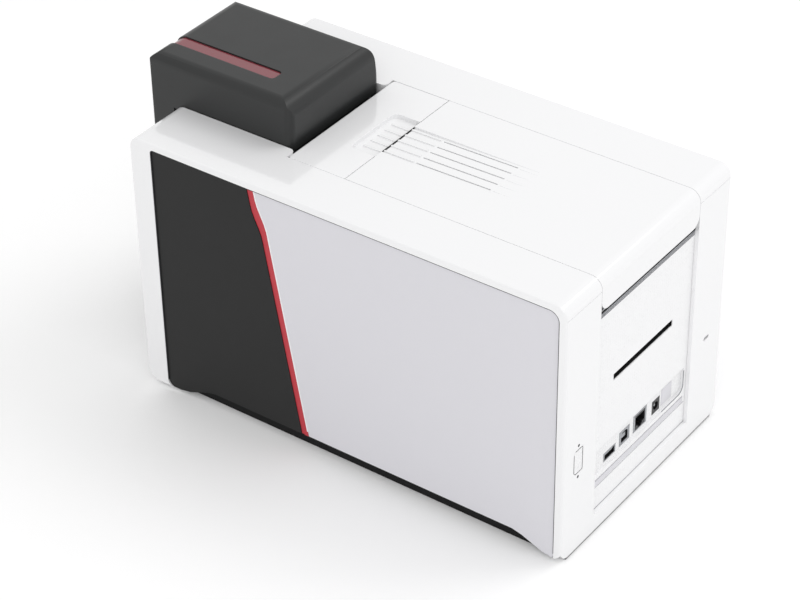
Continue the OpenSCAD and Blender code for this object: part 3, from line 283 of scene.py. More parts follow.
def rear_frame(low: tuple, high: tuple, rims: tuple, radii: tuple, span: tuple,
               steps: int = 3) -> Shape:
    """A frame that faces the rear, between a rounded rectangle and a smaller one.

    Args:
        low: Lowest (x, z) of its outside.
        high: Highest (x, z) of its outside.
        rims: Its width at the low x, high x, low z and high z side, or one width.
        radii: Corner radius of its outside and of its inside.
        span: Where it starts and ends along Y.
        steps: Points round each corner.

    Returns:
        The shape.
    """
    (x0, z0), (x1, z1) = low, high
    left, right, foot, head = np.broadcast_to(rims, 4)
    outer = rounded_outline((z0, x0), (z1, x1), radii[0], steps)
    inner = rounded_outline((z0 + foot, x0 + left), (z1 - head, x1 - right), radii[1], steps)
    return ring(outer, inner, Axis.Y, span)


def swept(path: np.ndarray, section: np.ndarray, side: tuple) -> Shape:
    """A section carried along a path.

    At each point the section's first axis is the part of the side vector
    across the path, and its second is across both.

    Args:
        path: Points of the path.
        section: Rows of (first, second) places round the section.
        side: A vector that is nowhere along the path.

    Returns:
        The shape, closed at both ends.
    """
    side = np.asarray(side, float)
    ahead = np.gradient(path, axis=0)
    ahead /= np.linalg.norm(ahead, axis=1, keepdims=True)
    first = side - ahead * (ahead @ side)[:, None]
    first /= np.linalg.norm(first, axis=1, keepdims=True)
    second = np.cross(ahead, first)
    tube = path[:, None] + section[:, :1] * first[:, None] + section[:, 1:] * second[:, None]
    ends = [np.broadcast_to(path[i], (1, len(section), 3)) for i in (0, -1)]
    rows = np.concatenate([ends[0], tube, ends[1]])
    return closed(rows.reshape(-1, 3) * MM, grid_quads(len(rows), len(section), close_columns=True))


def circle(radius: float, steps: int = 10) -> np.ndarray:
    """Points round a circle."""
    turn = np.linspace(0, 2 * np.pi, steps, endpoint=False)
    return radius * np.stack([np.cos(turn), np.sin(turn)], -1)


def smooth_path(knots: list, steps: int = 8) -> np.ndarray:
    """A Catmull-Rom curve through given points.

    Between two knots the point at t is the cubic whose slope at each knot is
    half the way from the knot before it to the knot after it.

    Args:
        knots: The points.
        steps: Points between one knot and the next.

    Returns:
        The curve's points.
    """
    knots = np.asarray(knots, float)
    slope = np.gradient(knots, axis=0)
    t = np.linspace(0, 1, steps, endpoint=False)[None, :, None]
    a, b, da, db = (k[:, None] for k in (knots[:-1], knots[1:], slope[:-1], slope[1:]))
    curve = ((2 * t**3 - 3 * t**2 + 1) * a + (t**3 - 2 * t**2 + t) * da
             + (3 * t**2 - 2 * t**3) * b + (t**3 - t**2) * db)
    return np.vstack([curve.reshape(-1, 3), knots[-1:]])


def rounded_outline(low: tuple, high: tuple, radii: object, steps: int = 8) -> np.ndarray:
    """A rectangle whose corners are arcs.

    Args:
        low: Lowest corner.
        high: Highest corner.
        radii: Radius at (low, low), (high, low), (high, high), (low, high), or one radius.
        steps: Points round each corner.

    Returns:
        The outline's points, anticlockwise.
    """
    low, high = np.asarray(low, float), np.asarray(high, float)
    corner = np.array([low, [high[0], low[1]], high, [low[0], high[1]]])
    inward = np.array([[1, 1], [-1, 1], [-1, -1], [1, -1]], float)
    radii = np.broadcast_to(np.asarray(radii, float), 4)[:, None]
    turn = np.linspace(0, np.pi / 2, steps) + (np.arange(4) * np.pi / 2 + np.pi)[:, None]
    arc = np.stack([np.cos(turn), np.sin(turn)], -1) * radii[:, None]
    return ((corner + inward * radii)[:, None] + arc).reshape(-1, 2)


def mirrored(shape: Shape) -> Shape:
    """The same shape on the other side of the middle plane."""
    return closed(shape.points * [-1, 1, 1], shape.quads)


# ---- Pieces --------------------------------------------------------------


def linked(name: str, data: bpy.types.ID) -> bpy.types.Object:
    """Puts a mesh, a lamp or a camera in the scene, at the origin.

    Args:
        name: Name of the object.
        data: Its mesh, lamp or camera.

    Returns:
        The object.
    """
    thing = bpy.data.objects.new(name, data)
    bpy.context.scene.collection.objects.link(thing)
    return thing


def mesh_object(name: str, shapes: list) -> bpy.types.Object:
    """Puts shapes into one new mesh object.

    Args:
        name: Name of the piece.
        shapes: The shapes.

    Returns:
        The new object.
    """
    starts = np.cumsum([0] + [len(s.points) for s in shapes])
    quads = np.vstack([s.quads + start for s, start in zip(shapes, starts)]).tolist()
    faces = [face for face in (list(dict.fromkeys(quad)) for quad in quads) if len(face) > 2]
    mesh = bpy.data.meshes.new(name)
    mesh.from_pydata(np.vstack([s.points for s in shapes]).tolist(), [], faces)
    mesh.shade_smooth()
    mesh.set_sharp_from_angle(angle=SMOOTH_ANGLE)
    return linked(name, mesh)


@dataclass
class Shop:
    """Holds the finishes and puts finished pieces on their bodies.

    Attributes:
        materials: Materials by material slot.
        slots: Material slot of each solid.
    """

    materials: dict
    slots: dict

    def finish(self, piece: bpy.types.Object, slot: str, body: str) -> None:
        """Dresses a piece in a slot's finish and makes it move with a body.

        Args:
            piece: The piece.
            slot: Material slot of its finish.
            body: The body that carries it.
        """
        piece.data.materials.clear()
        piece.data.materials.append(self.materials[slot])
        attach(piece, body)
        LOG.info("%s: %d faces on %s", piece.name, len(piece.data.polygons), body)

    def fit(self, name: str, slot: str, shapes: list, body: str = "base") -> bpy.types.Object:
        """Makes a piece out of shapes and fits it to a body.

        Args:
            name: Name of the piece.
            slot: Material slot of its finish.
            shapes: Its shapes.
            body: The body that carries it.

        Returns:
            The piece.
        """
        piece = mesh_object(name, shapes)
        self.finish(piece, slot, body)
        return piece

    def fit_sides(self, name: str, slot: str, shape: Shape) -> None:
        """Fits a shape on the right side of the base, and its mirror image on the left."""
        self.fit("right_" + name, slot, [shape])
        self.fit("left_" + name, slot, [mirrored(shape)])

    def dress_solids(self) -> None:
        """Gives every solid the finish of its slot, and the ribbon its dyes."""
        for node, solid in frame["nodes"].items():
            slot = "ribbon_dyes" if node == "ribbon_film" else self.slots[node]
            solid.data.materials.clear()
            solid.data.materials.append(self.materials[slot])


def box(node: str) -> tuple:
    """Lowest and highest corner of a solid."""
    low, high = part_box(node)
    return np.asarray(low) / MM, np.asarray(high) / MM


def middle_of(node: str) -> np.ndarray:
    """Middle of a solid's box."""
    return sum(box(node)) / 2


def body_of(node: str) -> str:
    """The rigid body that a solid belongs to."""
    bodies = frame["record"]["behaviour"]["bodies"]
    return next(body for body, members in bodies.items() if node in members)


def softened(node: str, width: float) -> bpy.types.Object:
    """Makes a copy of a solid whose sharp edges are rounded.

    The copy's loose triangles are merged into flat faces first, a bevel then
    runs along each sharp edge, and the large faces keep their own normals.

    Args:
        node: The solid's name.
        width: Radius of the rounding.

    Returns:
        The new piece, which stands for the solid.
    """
    work = bmesh.new()
    work.from_mesh(frame["nodes"][node].data)
    bmesh.ops.remove_doubles(work, verts=work.verts, dist=SAME_PLACE)
    bmesh.ops.dissolve_limit(work, angle_limit=SAME_PLANE, verts=work.verts, edges=work.edges)
    mesh = bpy.data.meshes.new(node + "_moulding")
    work.to_mesh(mesh)
    work.free()
    mesh.shade_smooth()
    mesh.set_sharp_from_angle(angle=SOFT_ANGLE)
    piece = linked(node + "_moulding", mesh)
    bevel = piece.modifiers.new("edges", "BEVEL")
    bevel.width = width * MM
    bevel.segments = 3
    bevel.limit_method = "ANGLE"
    bevel.angle_limit = SOFT_ANGLE
    bevel.miter_outer = "MITER_ARC"
    even = piece.modifiers.new("even", "WEIGHTED_NORMAL")
    even.mode = "FACE_AREA"
    even.weight = 80
    even.keep_sharp = False
    settled = piece.evaluated_get(bpy.context.evaluated_depsgraph_get())
    piece.data = bpy.data.meshes.new_from_object(settled)
    piece.modifiers.clear()
    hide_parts(node)
    return piece


# ---- Finishes ------------------------------------------------------------


class Tree:
    """Adds nodes to a node tree and links them."""

    def __init__(self, tree: bpy.types.NodeTree) -> None:
        """Takes a tree to work on."""
        self.tree = tree

    def feed(self, node: bpy.types.Node, sockets: dict) -> None:
        """Feeds a node's inputs, each with another node's output or a plain value.

        Args:
            node: The node.
            sockets: What feeds its inputs, by name or number.
        """
        for key, value in sockets.items():
            if isinstance(value, bpy.types.NodeSocket):
                self.tree.links.new(value, node.inputs[key])
            else:
                node.inputs[key].default_value = value

    def add(self, kind: str, sockets: dict, out: str, **values: object) -> bpy.types.NodeSocket:
        """Adds a node.

        Args:
            kind: The node's type.
            sockets: What feeds its inputs.
            out: The output that is wanted.
            **values: Properties, by name.

        Returns:
            The output.
        """
        node = self.tree.nodes.new(kind)
        for key, value in values.items():
            setattr(node, key, value)
        self.feed(node, sockets)
        return node.outputs[out]

    def worked(self, operation: str, first: object, second: object = 0.0) -> bpy.types.NodeSocket:
        """The result of a Math node on two outputs or numbers."""
        return self.add("ShaderNodeMath", {0: first, 1: second}, "Value", operation=operation)

    def spread(self, value: bpy.types.NodeSocket, low: float, high: float,
               start: float = 0.3, end: float = 0.7) -> bpy.types.NodeSocket:
        """Maps a value from start..end to low..high."""
        return self.add("ShaderNodeMapRange", {"Value": value, "From Min": start, "From Max": end,
                                               "To Min": low, "To Max": high}, "Result")

    def seen(self) -> bpy.types.NodeSocket:
        """Is 1 for rays from the camera and for what gloss and glass show, else 0.

        Returns:
            The value.
        """
        rays = self.tree.nodes.new("ShaderNodeLightPath").outputs
        direct = self.worked("MAXIMUM", rays["Is Camera Ray"], rays["Is Glossy Ray"])
        return self.worked("MAXIMUM", direct, rays["Is Transmission Ray"])


class Graph(Tree):
    """Builds one material, a step at a time."""

    def __init__(self, name: str) -> None:
        """Starts a material with one shader.

        Args:
            name: Name of the material.
        """
        self.material = bpy.data.materials.new(name)
        self.material.use_nodes = True
        super().__init__(self.material.node_tree)
        self.tree.nodes.clear()
        self.shader = self.tree.nodes.new("ShaderNodeBsdfPrincipled")
        surface = self.tree.nodes.new("ShaderNodeOutputMaterial")
        self.feed(surface, {"Surface": self.shader.outputs["BSDF"]})
        self.place = self.add("ShaderNodeTexCoord", {}, "Object")

    def set(self, **values: object) -> None:
        """Feeds the shader's inputs, with spaces in their names as underscores."""
        self.feed(self.shader, {key.replace("_", " "): value for key, value in values.items()})

    def mapped(self, stretch: tuple = (1, 1, 1)) -> bpy.types.NodeSocket:
        """The piece's own space, scaled by a Mapping node."""
        return self.add("ShaderNodeMapping", {"Vector": self.place, "Scale": stretch}, "Vector")

    def noise(self, scale: float, detail: float = 3.0,
              stretch: tuple = (1, 1, 1)) -> bpy.types.NodeSocket:
        """Noise about 0.5, by features per metre, octaves and the scale of each axis."""
        return self.add("ShaderNodeTexNoise", {"Scale": scale, "Detail": detail,
                                               "Vector": self.mapped(stretch)}, "Fac")

    def cells(self, scale: float, jitter: float) -> bpy.types.NodeSocket:
        """Distance from the nearest cell's middle, by cells per metre and their stray."""
        return self.add("ShaderNodeTexVoronoi", {"Scale": scale, "Randomness": jitter,
                                                 "Vector": self.mapped()}, "Distance")

    def tint(self, colour: tuple, value: bpy.types.NodeSocket, low: float, high: float) -> None:
        """Varies the base colour by a value, from low to high times a colour."""
        ends = [(*(min(1.0, c * factor) for c in colour), 1) for factor in (low, high)]
        self.set(Base_Color=self.add("ShaderNodeMix", {"Factor": value, "A": ends[0], "B": ends[1]},
                                     "Result", data_type="RGBA"))

    def bump(self, height: bpy.types.NodeSocket, depth: float) -> None:
        """Bumps the surface by a height from 0 to 1, on top of any bump before it.

        Args:
            height: The height.
            depth: Depth of the relief in metres.
        """
        sockets = {"Distance": depth, "Height": height}
        before = self.shader.inputs["Normal"].links
        if before:
            sockets["Normal"] = before[0].from_socket
        self.set(Normal=self.add("ShaderNodeBump", sockets, "Normal"))


def linear(code: str) -> tuple:
    """The scene-linear red, green and blue of six hex digits, by the sRGB curve."""
    srgb = np.array([int(code[i:i + 2], 16) for i in (0, 2, 4)]) / 255
    return tuple(np.where(srgb <= 0.04045, srgb / 12.92, ((srgb + 0.055) / 1.055) ** 2.4).tolist())


@dataclass(frozen=True)
class Finish:
    """One finish.

    Attributes:
        name: Name of the material.
        colour: Hex code of its colour.
    """

    name: str
    colour: str

    def make(self) -> bpy.types.Material:
        """Builds the material.

        Returns:
            The material.
        """
        graph = Graph(self.name)
        self.lay(graph)
        return graph.material


@dataclass(frozen=True)
class Plastic(Finish):
    """Moulded plastic with a fine grain and slight clouding.

    Attributes:
        gloss: Roughness of its smoothest places.
        grain: Grains per metre.
        relief: Depth of the grain in metres.
        cloud: Share by which the colour varies.
        shine: Strength of its reflections, 0.5 for plain plastic.
        coat: Weight of a clear lacquer over it.
        coat_index: Refractive index of the lacquer.
        worn: Roughness that its roughest places have more.
    """

    gloss: float
    grain: float
    relief: float
    cloud: float
    shine: float = 0.5
    coat: float = 0.0
    coat_index: float = 1.5
    worn: float = 0.05

    def lay(self, g: Graph) -> None:
        """Lays the finish on a new material.

        Args:
            g: The material's graph.
        """
        g.tint(linear(self.colour), g.noise(CLOUDS, 2), 1 - self.cloud, 1 + self.cloud)
        g.bump(g.noise(self.grain, 2), self.relief)
        g.set(Roughness=g.spread(g.noise(PATCHES, 4), self.gloss, self.gloss + self.worn),
              Specular_IOR_Level=self.shine, Coat_Weight=self.coat, Coat_Roughness=LACQUER,
              Coat_IOR=self.coat_index)


@dataclass(frozen=True)
class Stippled(Finish):
    """Pale plastic with a regular stipple of low bumps.

    Attributes:
        pitch: Distance between bumps in metres.
        relief: Height of the bumps in metres.
        bump: Where a bump's flat top ends and where its foot is, in pitches from its middle.
        uneven: Irregularity of the bumps' places.
        grain: Grains per metre on the whole face, and their depth in metres.
        tint: Range of its tint.
        rough: Roughness of its smoothest and of its roughest places.
    """

    pitch: float = 0.0026
    relief: float = 0.0003
    bump: tuple = (0.2, 0.5)
    uneven: float = 0.15
    grain: tuple = (2600, 0.00001)
    tint: tuple = (0.99, 1.01)
    rough: tuple = (0.34, 0.42)

    def lay(self, g: Graph) -> None:
        """Lays the finish on a new material.

        Args:
            g: The material's graph.
        """
        g.tint(linear(self.colour), g.noise(CLOUDS, 2), *self.tint)
        g.bump(g.spread(g.cells(1 / self.pitch, self.uneven), 1, 0, *self.bump), self.relief)
        g.bump(g.noise(self.grain[0], 2), self.grain[1])
        g.set(Roughness=g.spread(g.noise(PATCHES, 4), *self.rough))


@dataclass(frozen=True)
class Metal(Finish):
    """Brushed or turned metal.

    Attributes:
        rough: Roughness of its smoothest places.
        stretch: Scale of the brushing along each axis.
        relief: Depth of the brushing in metres.
        brushing: Lines of the brushing per metre.
        worn: Roughness that its roughest places have more.
        mottle: Clouds of tint per metre.
        tint: Range of its tint.
    """

    rough: float
    stretch: tuple = (1, 1, 1)
    relief: float = 0.000008
    brushing: float = 900
    worn: float = 0.12
    mottle: float = 90
    tint: tuple = (0.93, 1.04)

    def lay(self, g: Graph) -> None:
        """Lays the finish on a new material.

        Args:
            g: The material's graph.
        """
        g.tint(linear(self.colour), g.noise(self.mottle), *self.tint)
        brushed = g.noise(self.brushing, stretch=self.stretch)
        g.bump(brushed, self.relief)
        g.set(Roughness=g.spread(brushed, self.rough, self.rough + self.worn), Metallic=1.0)


@dataclass(frozen=True)
class Clear(Finish):
    """Tinted see-through plastic with a smooth face.

    Attributes:
        through: Share of light that passes.
        glow: Strength of the light it carries itself.
        coat: Weight of a clear lacquer over it.
        index: Its refractive index.
        tint: Clouds of tint per metre, and the range of the tint.
        smears: Smears per metre, and the roughness of the clearest and of the dullest.
    """

    through: float
    glow: float = 0.0
    coat: float = 0.0
    index: float = 1.49
    tint: tuple = (40, 0.94, 1.05)
    smears: tuple = (120, 0.1, 0.18)

    def lay(self, g: Graph) -> None:
        """Lays the finish on a new material.

        Args:
            g: The material's graph.
        """
        colour = linear(self.colour)
        clouds, *tint = self.tint
        smears, *rough = self.smears
        g.tint(colour, g.noise(clouds, 2), *tint)
        g.set(Roughness=g.spread(g.noise(smears), *rough), Transmission_Weight=self.through,
              IOR=self.index, Emission_Strength=self.glow, Emission_Color=(*colour, 1),
              Coat_Weight=self.coat, Coat_Roughness=LACQUER)


@dataclass(frozen=True)
class Film(Finish):
    """Coated film whose dye panels follow each other along Y.

    Attributes:
        dyes: Hex codes of the panels after the first, which has the finish's colour.
        panel: Length of one panel in metres.
        smears: Smears per metre, and the roughness of the clearest and of the dullest.
        coat: Weight and roughness of a clear coat over it.
    """

    dyes: tuple = ("B0306E", "2F8FB5", "26262A")
    panel: float = 0.036
    smears: tuple = (200, 0.14, 0.22)
    coat: tuple = (0.4, 0.05)

    def lay(self, g: Graph) -> None:
        """Lays the finish on a new material.

        Args:
            g: The material's graph.
        """
        dyes = (self.colour, *self.dyes)
        along = g.add("ShaderNodeSeparateXYZ", {"Vector": g.place}, "Y")
        turn = g.worked("FRACT", g.worked("DIVIDE", along, self.panel * len(dyes)))
        shown = g.add("ShaderNodeValToRGB", {"Fac": turn}, "Color")
        ramp = shown.node.color_ramp
        ramp.interpolation = "CONSTANT"
        for i, dye in enumerate(dyes):
            stop = ramp.elements[i] if i < len(ramp.elements) else ramp.elements.new(1)
            stop.position = i / len(dyes)
            stop.color = (*linear(dye), 1)
        smears, *rough = self.smears
        g.set(Base_Color=shown, Roughness=g.spread(g.noise(smears, 2), *rough),
              Coat_Weight=self.coat[0], Coat_Roughness=self.coat[1])


def finishes() -> dict:
    """Builds every material once.

    Returns:
        Materials by name.
    """
    across = (0.05, 1, 1)
    # The numbers after the colour are gloss, grain, relief and cloud, or a metal's roughness.
    kinds = (
        Plastic("shell_white", "F3F3F4", 0.12, 420, 0.000006, 0.004, coat=0.7, coat_index=1.6),
        Plastic("panel_dark", "292929", 0.36, 2600, 0.00002, 0.03, shine=0.13),
        Plastic("panel_light", "DCDBE0", 0.36, 2600, 0.00002, 0.006, shine=0.3),
        Plastic("accent_red", "BE3540", 0.28, 1600, 0.00001, 0.02, shine=0.3),
        Stippled("rear_white", "F6F6F7"),
        Plastic("feeder_black", "272828", 0.32, 2200, 0.000015, 0.03, shine=0.36),
        Plastic("inner_dark", "1E1F21", 0.42, 1500, 0.00004, 0.05),
        Plastic("rubber_black", "161617", 0.70, 1200, 0.00006, 0.06, shine=0.2),
        Plastic("port_dark", "19191B", 0.38, 1500, 0.00002, 0.05),
        Plastic("button_grey", "7C7E83", 0.30, 1800, 0.00002, 0.03),
        Plastic("gear_white", "E6E3DA", 0.38, 900, 0.00002, 0.04),
        Plastic("roller_dark", "38383B", 0.60, 1500, 0.00004, 0.08),
        Plastic("cleaner_blue", "4C8CC8", 0.32, 700, 0.00003, 0.05),
        Plastic("motor_dark", "36373A", 0.40, 900, 0.00003, 0.05),
        Plastic("board_green", "1F6B3C", 0.35, 600, 0.00003, 0.10, coat=0.3),
        Plastic("ribbon_violet", "4A3F93", 0.22, 2400, 0.00001, 0.10),
        Plastic("spool_black", "2E2E31", 0.36, 1500, 0.00003, 0.05),
        Metal("frame_steel", "B9BBBE", 0.30, stretch=across),
        Metal("port_steel", "A4A6AA", 0.26),
        Metal("head_metal", "CDBE93", 0.28, stretch=across),
        Metal("pinion_brass", "C9A14A", 0.25),
        Clear("window_red", "84333D", through=0.12, coat=0.45),
        Clear("light_lens", "DCE6EC", through=0.55, glow=0.05),
        Film("ribbon_dyes", "E2C23A"),
    )
    return {kind.name: kind.make() for kind in kinds}


# ---- Mouldings and side panels -------------------------------------------


@dataclass
class Mouldings:
    """The outer mouldings, shown with softened edges.

    Attributes:
        radii: Edge radii, each with its mouldings.
    """

    radii: tuple = (
        (1.1, ("hood", "release_bar")),
        (1.0, ("left_housing", "right_housing")),
        (0.8, ("rear_sill",)),
        (0.9, ("feeder_lid",)),
        (1.2, ("front_fascia",)),
        (0.8, ("left_dark_panel", "right_dark_panel", "left_light_panel", "right_light_panel")),
    )

    def build(self, shop: Shop) -> None:
        """Makes the softened copies and puts them on their bodies.

        Args:
            shop: Fits the pieces to their bodies.
        """
        for radius, nodes in self.radii:
            for node in nodes:
                shop.finish(softened(node, radius), shop.slots[node], body_of(node))


@dataclass
class PanelShadeGaskets:
    """Dark gaskets in the shadow gap round the side panels, whose dark face paints the gap's shade.

    Attributes:
        gap: Width of the gap.
        proud: Height of the gasket's face above the panels' face.
        radii: Corner radii of the recess, rear top and front top.
        foot: Height at which the gasket ends, over the arch.
        fit: Room between the gasket and the recess.
        least: Smallest corner radius.
    """

    gap: float = 0.6
    proud: float = 0.88
    radii: tuple = (8.0, 3.0)
    foot: float = 7.5
    fit: float = 0.02
    least: float = 0.1

    def path(self, inset: float) -> np.ndarray:
        """The recess's edge moved inwards: up the front, along the top, down the rear.

        Args:
            inset: How far it is moved.

        Returns:
            Its points (y, z).
        """
        front, rear = box("right_dark_panel")[0], box("right_light_panel")[1]
        out = self.gap - inset
        rounds = [max(radius - inset, self.least) for radius in self.radii]
        edge = rounded_outline((front[1] - out, self.foot), (rear[1] + out, rear[2] + out),
                               (SQUARE, SQUARE, *rounds))
        corner = len(edge) // 4
        return np.roll(edge, 1 - 2 * corner, axis=0)[:2 * corner + 2]

    def build(self, shop: Shop) -> None:
        """Makes one gasket for each side.

        Args:
            shop: Fits the pieces to their bodies.
        """
        low, face = box("right_light_panel")
        gasket = ring(self.path(self.fit), self.path(self.gap - self.fit), Axis.X,
                      (low[0] + self.fit, face[0] + self.proud), whole=False)
        # painted shade: a dark gasket fills the gap round each panel, where only shade falls
        shop.fit_sides("panel_shade_gasket", "spool_black", gasket)


@dataclass
class StripeHighlight:
    """Pale beads along the edges where the light panels meet the stripes, a painted highlight on
    the light panels' edges.

    Attributes:
        bead: Radius of a bead.
        proud: Height of the bead's top above the panel's face.
        lap: How far the bead's middle lies in front of the panel's edge.
        reach: Where the search for a panel's front edge ends, along Y.
        near: How near the panel's face, and to a height, a point of its edge has to lie.
    """

    bead: float = 0.6
    proud: float = 0.3
    lap: float = 0.2
    reach: float = 20.0
    near: tuple = (0.01, 0.02)

    def build(self, shop: Shop) -> None:
        """Makes one bead for each side.

        Args:
            shop: Fits the pieces to their bodies.
        """
        points = np.array([v.co for v in frame["nodes"]["right_light_panel"].data.vertices]) / MM
        face = points[:, 0].max()
        flush, level = self.near
        front = points[(points[:, 0] > face - flush) & (points[:, 1] < self.reach)]
        heights = np.unique(front[:, 2].round(2))[1:-1]
        edge = [front[np.abs(front[:, 2] - z) < level, 1].min() - self.lap for z in heights]
        x = np.full(len(edge), face - self.bead + self.proud)
        trim = swept(np.stack([x, edge, heights], -1), circle(self.bead, steps=8), (1, 0, 0))
        # painted highlight: a white bead stands for the light caught by the light panel's edge
        shop.fit_sides("stripe_highlight", "shell_white", trim)


# ---- Rear ----------------------------------------------------------------


@dataclass
class RearHeel:
    """A white heel that squares the lower rear edge, and the dark strip it stands on, which paints
    the contact shadow along that edge.

    Attributes:
        rise: Lowest and highest edge of the heel.
        inset: Distance in from the housings' sides and from the rear face.
        radius: Radius of its two lower and of its two upper corners.
        deep: Depth along Y.
        strip: Lowest edge, depth and inset of the dark strip that paints the contact shadow.
        strip_fit: Share of the lower radius by which each of its ends falls short, its
            lap into the heel and its rounding.
    """

    rise: tuple = (1.25, 15.95)
    inset: tuple = (0.8, 0.03)
    radius: tuple = (9.0, 0.4)
    deep: float = 5.7
    strip: tuple = (0.1, 5.0, 0.12)
    strip_fit: tuple = (0.7, 0.1, 0.15)

    def build(self, shop: Shop) -> None:
        """Makes the heel and its strip.

        Args:
            shop: Fits the pieces to their bodies.
        """
        side = box("right_housing")[1]
        x, back = side[0] - self.inset[0], side[1] - self.inset[1]
        lower, upper = self.radius
        outline = rounded_outline((self.rise[0], -x), (self.rise[1], x),
                                  (lower, upper, upper, lower), steps=14)
        shop.fit("rear_heel", "shell_white", [prism(outline, Axis.Y, back - self.deep, back)])
        bottom, deep, margin = self.strip
        short, lap, rounding = self.strip_fit
        reach, front = x - lower * short, back - margin
        # painted shadow: a dark strip under the heel stands for the contact shadow at the floor
        shop.fit("rear_shadow_strip", "port_dark",
                 [pillow((-reach, front - deep, bottom), (reach, front, self.rise[0] + lap),
                         rounding)])


@dataclass
class Mouth:
    """What lines one connector's mouth.

    Attributes:
        node: The connector.
        rims: Width of its plated shield at the low and at the high X side.
        contacts: Number, spacing, height from the middle and depth of its contacts.
        half: Half width and half height of the mouth, where it has a dark liner.
        deep: Depth of the liner.
    """

    node: str
    rims: tuple
    contacts: tuple
    half: tuple = ()
    deep: float = 0.0


@dataclass
class ConnectorRow:
    """Shields, contacts and covers of the connectors in the rear pocket, with grey beads, lines, a
    plate and an inlay that paint the shade round the pocket, on the ledge and over the sill.

    Attributes:
        mouths: The connectors.
        rim: Width of a shield's upper and lower edge.
        plate: Grey plate beside the inlet, painted shade of the pocket's floor: low and high (x,
            z).
        screw_gap: Distance of the knock-out's screws from its middle.
        line: Width of the dark line round the knock-out, painted shade of its gap.
        ledge: Half width, and lowest and highest edge, of the grey inlay under the pocket, which
            paints the ledge's shade.
        inlay: Depth of the inlay's back and of its face behind the panel's face, and its
            distance from the ledge's highest and lowest edge.
        ledge_lines: Half height and stand of the grey line at each of those edges, a painted shade
            line.
        bead: Lower outer corner of the pocket's rim, and where its grey bead, a painted shade line
            along the rim, ends on each side.
        bead_size: Radius of that corner, the bead's own radius and its depth in the rim.
        shield_edge: Outer and inner corner radius of a shield, and where it starts and
            ends along Y, from the connector's face.
        sleeve: Thickness of a liner as a share of the mouth's half size, its corner
            radius and its distance behind the face.
        pin: Half width of a contact as a share of the pitch, half its thickness and
            its length.
        knock_screw: Height and radius of the knock-out's screws, and their stand.
        line_edge: The dark line's corner radii, and its start and end, as for a shield.
        plate_edge: Lap, stand and rounding of the grey plate.
        seal: End gap of the grey seal under the panel, which paints the shade line over the sill,
            and its span from the face along Y
        and from the foot along Z.
    """

    mouths: tuple = (Mouth("usb_a_port", (0.7, 0.7), (4, 2.5, 0.0, 1.5), (6.2, 2.55), 11.8),
                     Mouth("usb_b_port", (1.3, 1.3), (2, 2.5, -1.75, 1.6), (4.15, 4.15), 12.8),
                     Mouth("ethernet_port", (1.9, 2.0), (8, 1.02, 3.9, 1.0)))
    rim: float = 0.9
    plate: tuple = ((-45.0, 47.8), (-31.5, 61.8))
    screw_gap: float = 13.2
    line: float = 0.45
    ledge: tuple = (60.4, 34.6, 40.4)
    inlay: tuple = (0.9, 0.3, 0.9, 0.5)
    ledge_lines: tuple = ((0.2, 0.06), (0.14, -0.35))
    bead: tuple = ((58.3, 44.7), (30.0, 63.0))
    bead_size: tuple = (6, 0.3, 0.1)
    shield_edge: tuple = ((0.3, 0.2), (-0.05, 0.12))
    sleeve: tuple = (0.03, 0.1, 0.3)
    pin: tuple = (0.28, 0.12, 6)
    knock_screw: tuple = (0.06, 1.15, 0.1)
    line_edge: tuple = ((1.4, 1.0), (-0.1, 0.05))
    plate_edge: tuple = (0.05, 0.25, 0.12)
    seal: tuple = (0.2, (-0.3, 0.12), (-0.35, 0.1))

    def shield(self, mouth: Mouth) -> Shape:
        """A plated frame round a connector's mouth.

        Args:
            mouth: The connector's mouth.

        Returns:
            The frame.
        """
        low, high = box(mouth.node)
        corners, (start, end) = self.shield_edge
        return rear_frame(low[::2], high[::2], (*mouth.rims, self.rim, self.rim), corners,
                          (high[1] + start, high[1] + end))

    def liner(self, mouth: Mouth) -> Shape:
        """A thin dark sleeve inside a connector's mouth.

        Args:
            mouth: The connector's mouth.

        Returns:
            The sleeve.
        """
        middle, back = middle_of(mouth.node)[::2], box(mouth.node)[1][1]
        half, (thin, radius, near) = np.array(mouth.half), self.sleeve
        return rear_frame(middle - half, middle + half, np.repeat(half * thin, 2),
                          (radius, radius * (1 - thin)), (back - mouth.deep, back - near),
                          steps=2)

    def contacts(self, mouth: Mouth) -> list:
        """A row of gilt contacts inside a connector's mouth.

        Args:
            mouth: The connector's mouth.

        Returns:
            The contacts.
        """
        count, pitch, rise, deep = mouth.contacts
        middle, tip = middle_of(mouth.node), box(mouth.node)[1][1] - deep
        share, thin, length = self.pin
        wide, z = pitch * share, middle[2] + rise
        places = middle[0] + (np.arange(count) - (count - 1) / 2) * pitch
        return [block((x - wide, tip - length, z - thin), (x + wide, tip, z + thin))
                for x in places]

    def knockout_screws_and_shade_line(self) -> list:
        """The dark line round the serial port's cover, painted shade of the gap round it, and the
        two screw knock-outs by it.

        Returns:
            The screws and the line.
        """
        low, high = box("serial_knockout")
        middle = (low + high) / 2
        height, radius, stand = self.knock_screw
        corners, (start, end) = self.line_edge
        places = [(middle[0], high[1] + stand, middle[2] + side * self.screw_gap)
                  for side in (-1, 1)]
        screws = [turned(disc(-LAP, height, radius), place, Axis.Y, steps=18)
                  for place in places]
        return screws + [
            rear_frame(low[::2], high[::2], self.line, corners,
                       (high[1] + start, high[1] + end), steps=5)]

    def pocket_shade_bead(self, face: float) -> Shape:
        """A thin grey bead down one side of the pocket's rim and round its lower corner, painted
        shade along the rim's gap.

        Args:
            face: Place of the rear panel's face along Y.

        Returns:
            The bead.
        """
        (x, z), (x_end, z_end) = self.bead
        steps, (radius, thick, deep) = 9, self.bead_size
        corner = rounded_outline((z, -x), (z_end, x), (radius, 0.5, 0.5, radius), steps)[:steps]
        rim = np.vstack([[z, -x_end], corner, [z_end, -x]])[:, ::-1]
        return swept(np.insert(rim, 1, face - deep, axis=1), circle(thick, steps=6), (0, 1, 0))

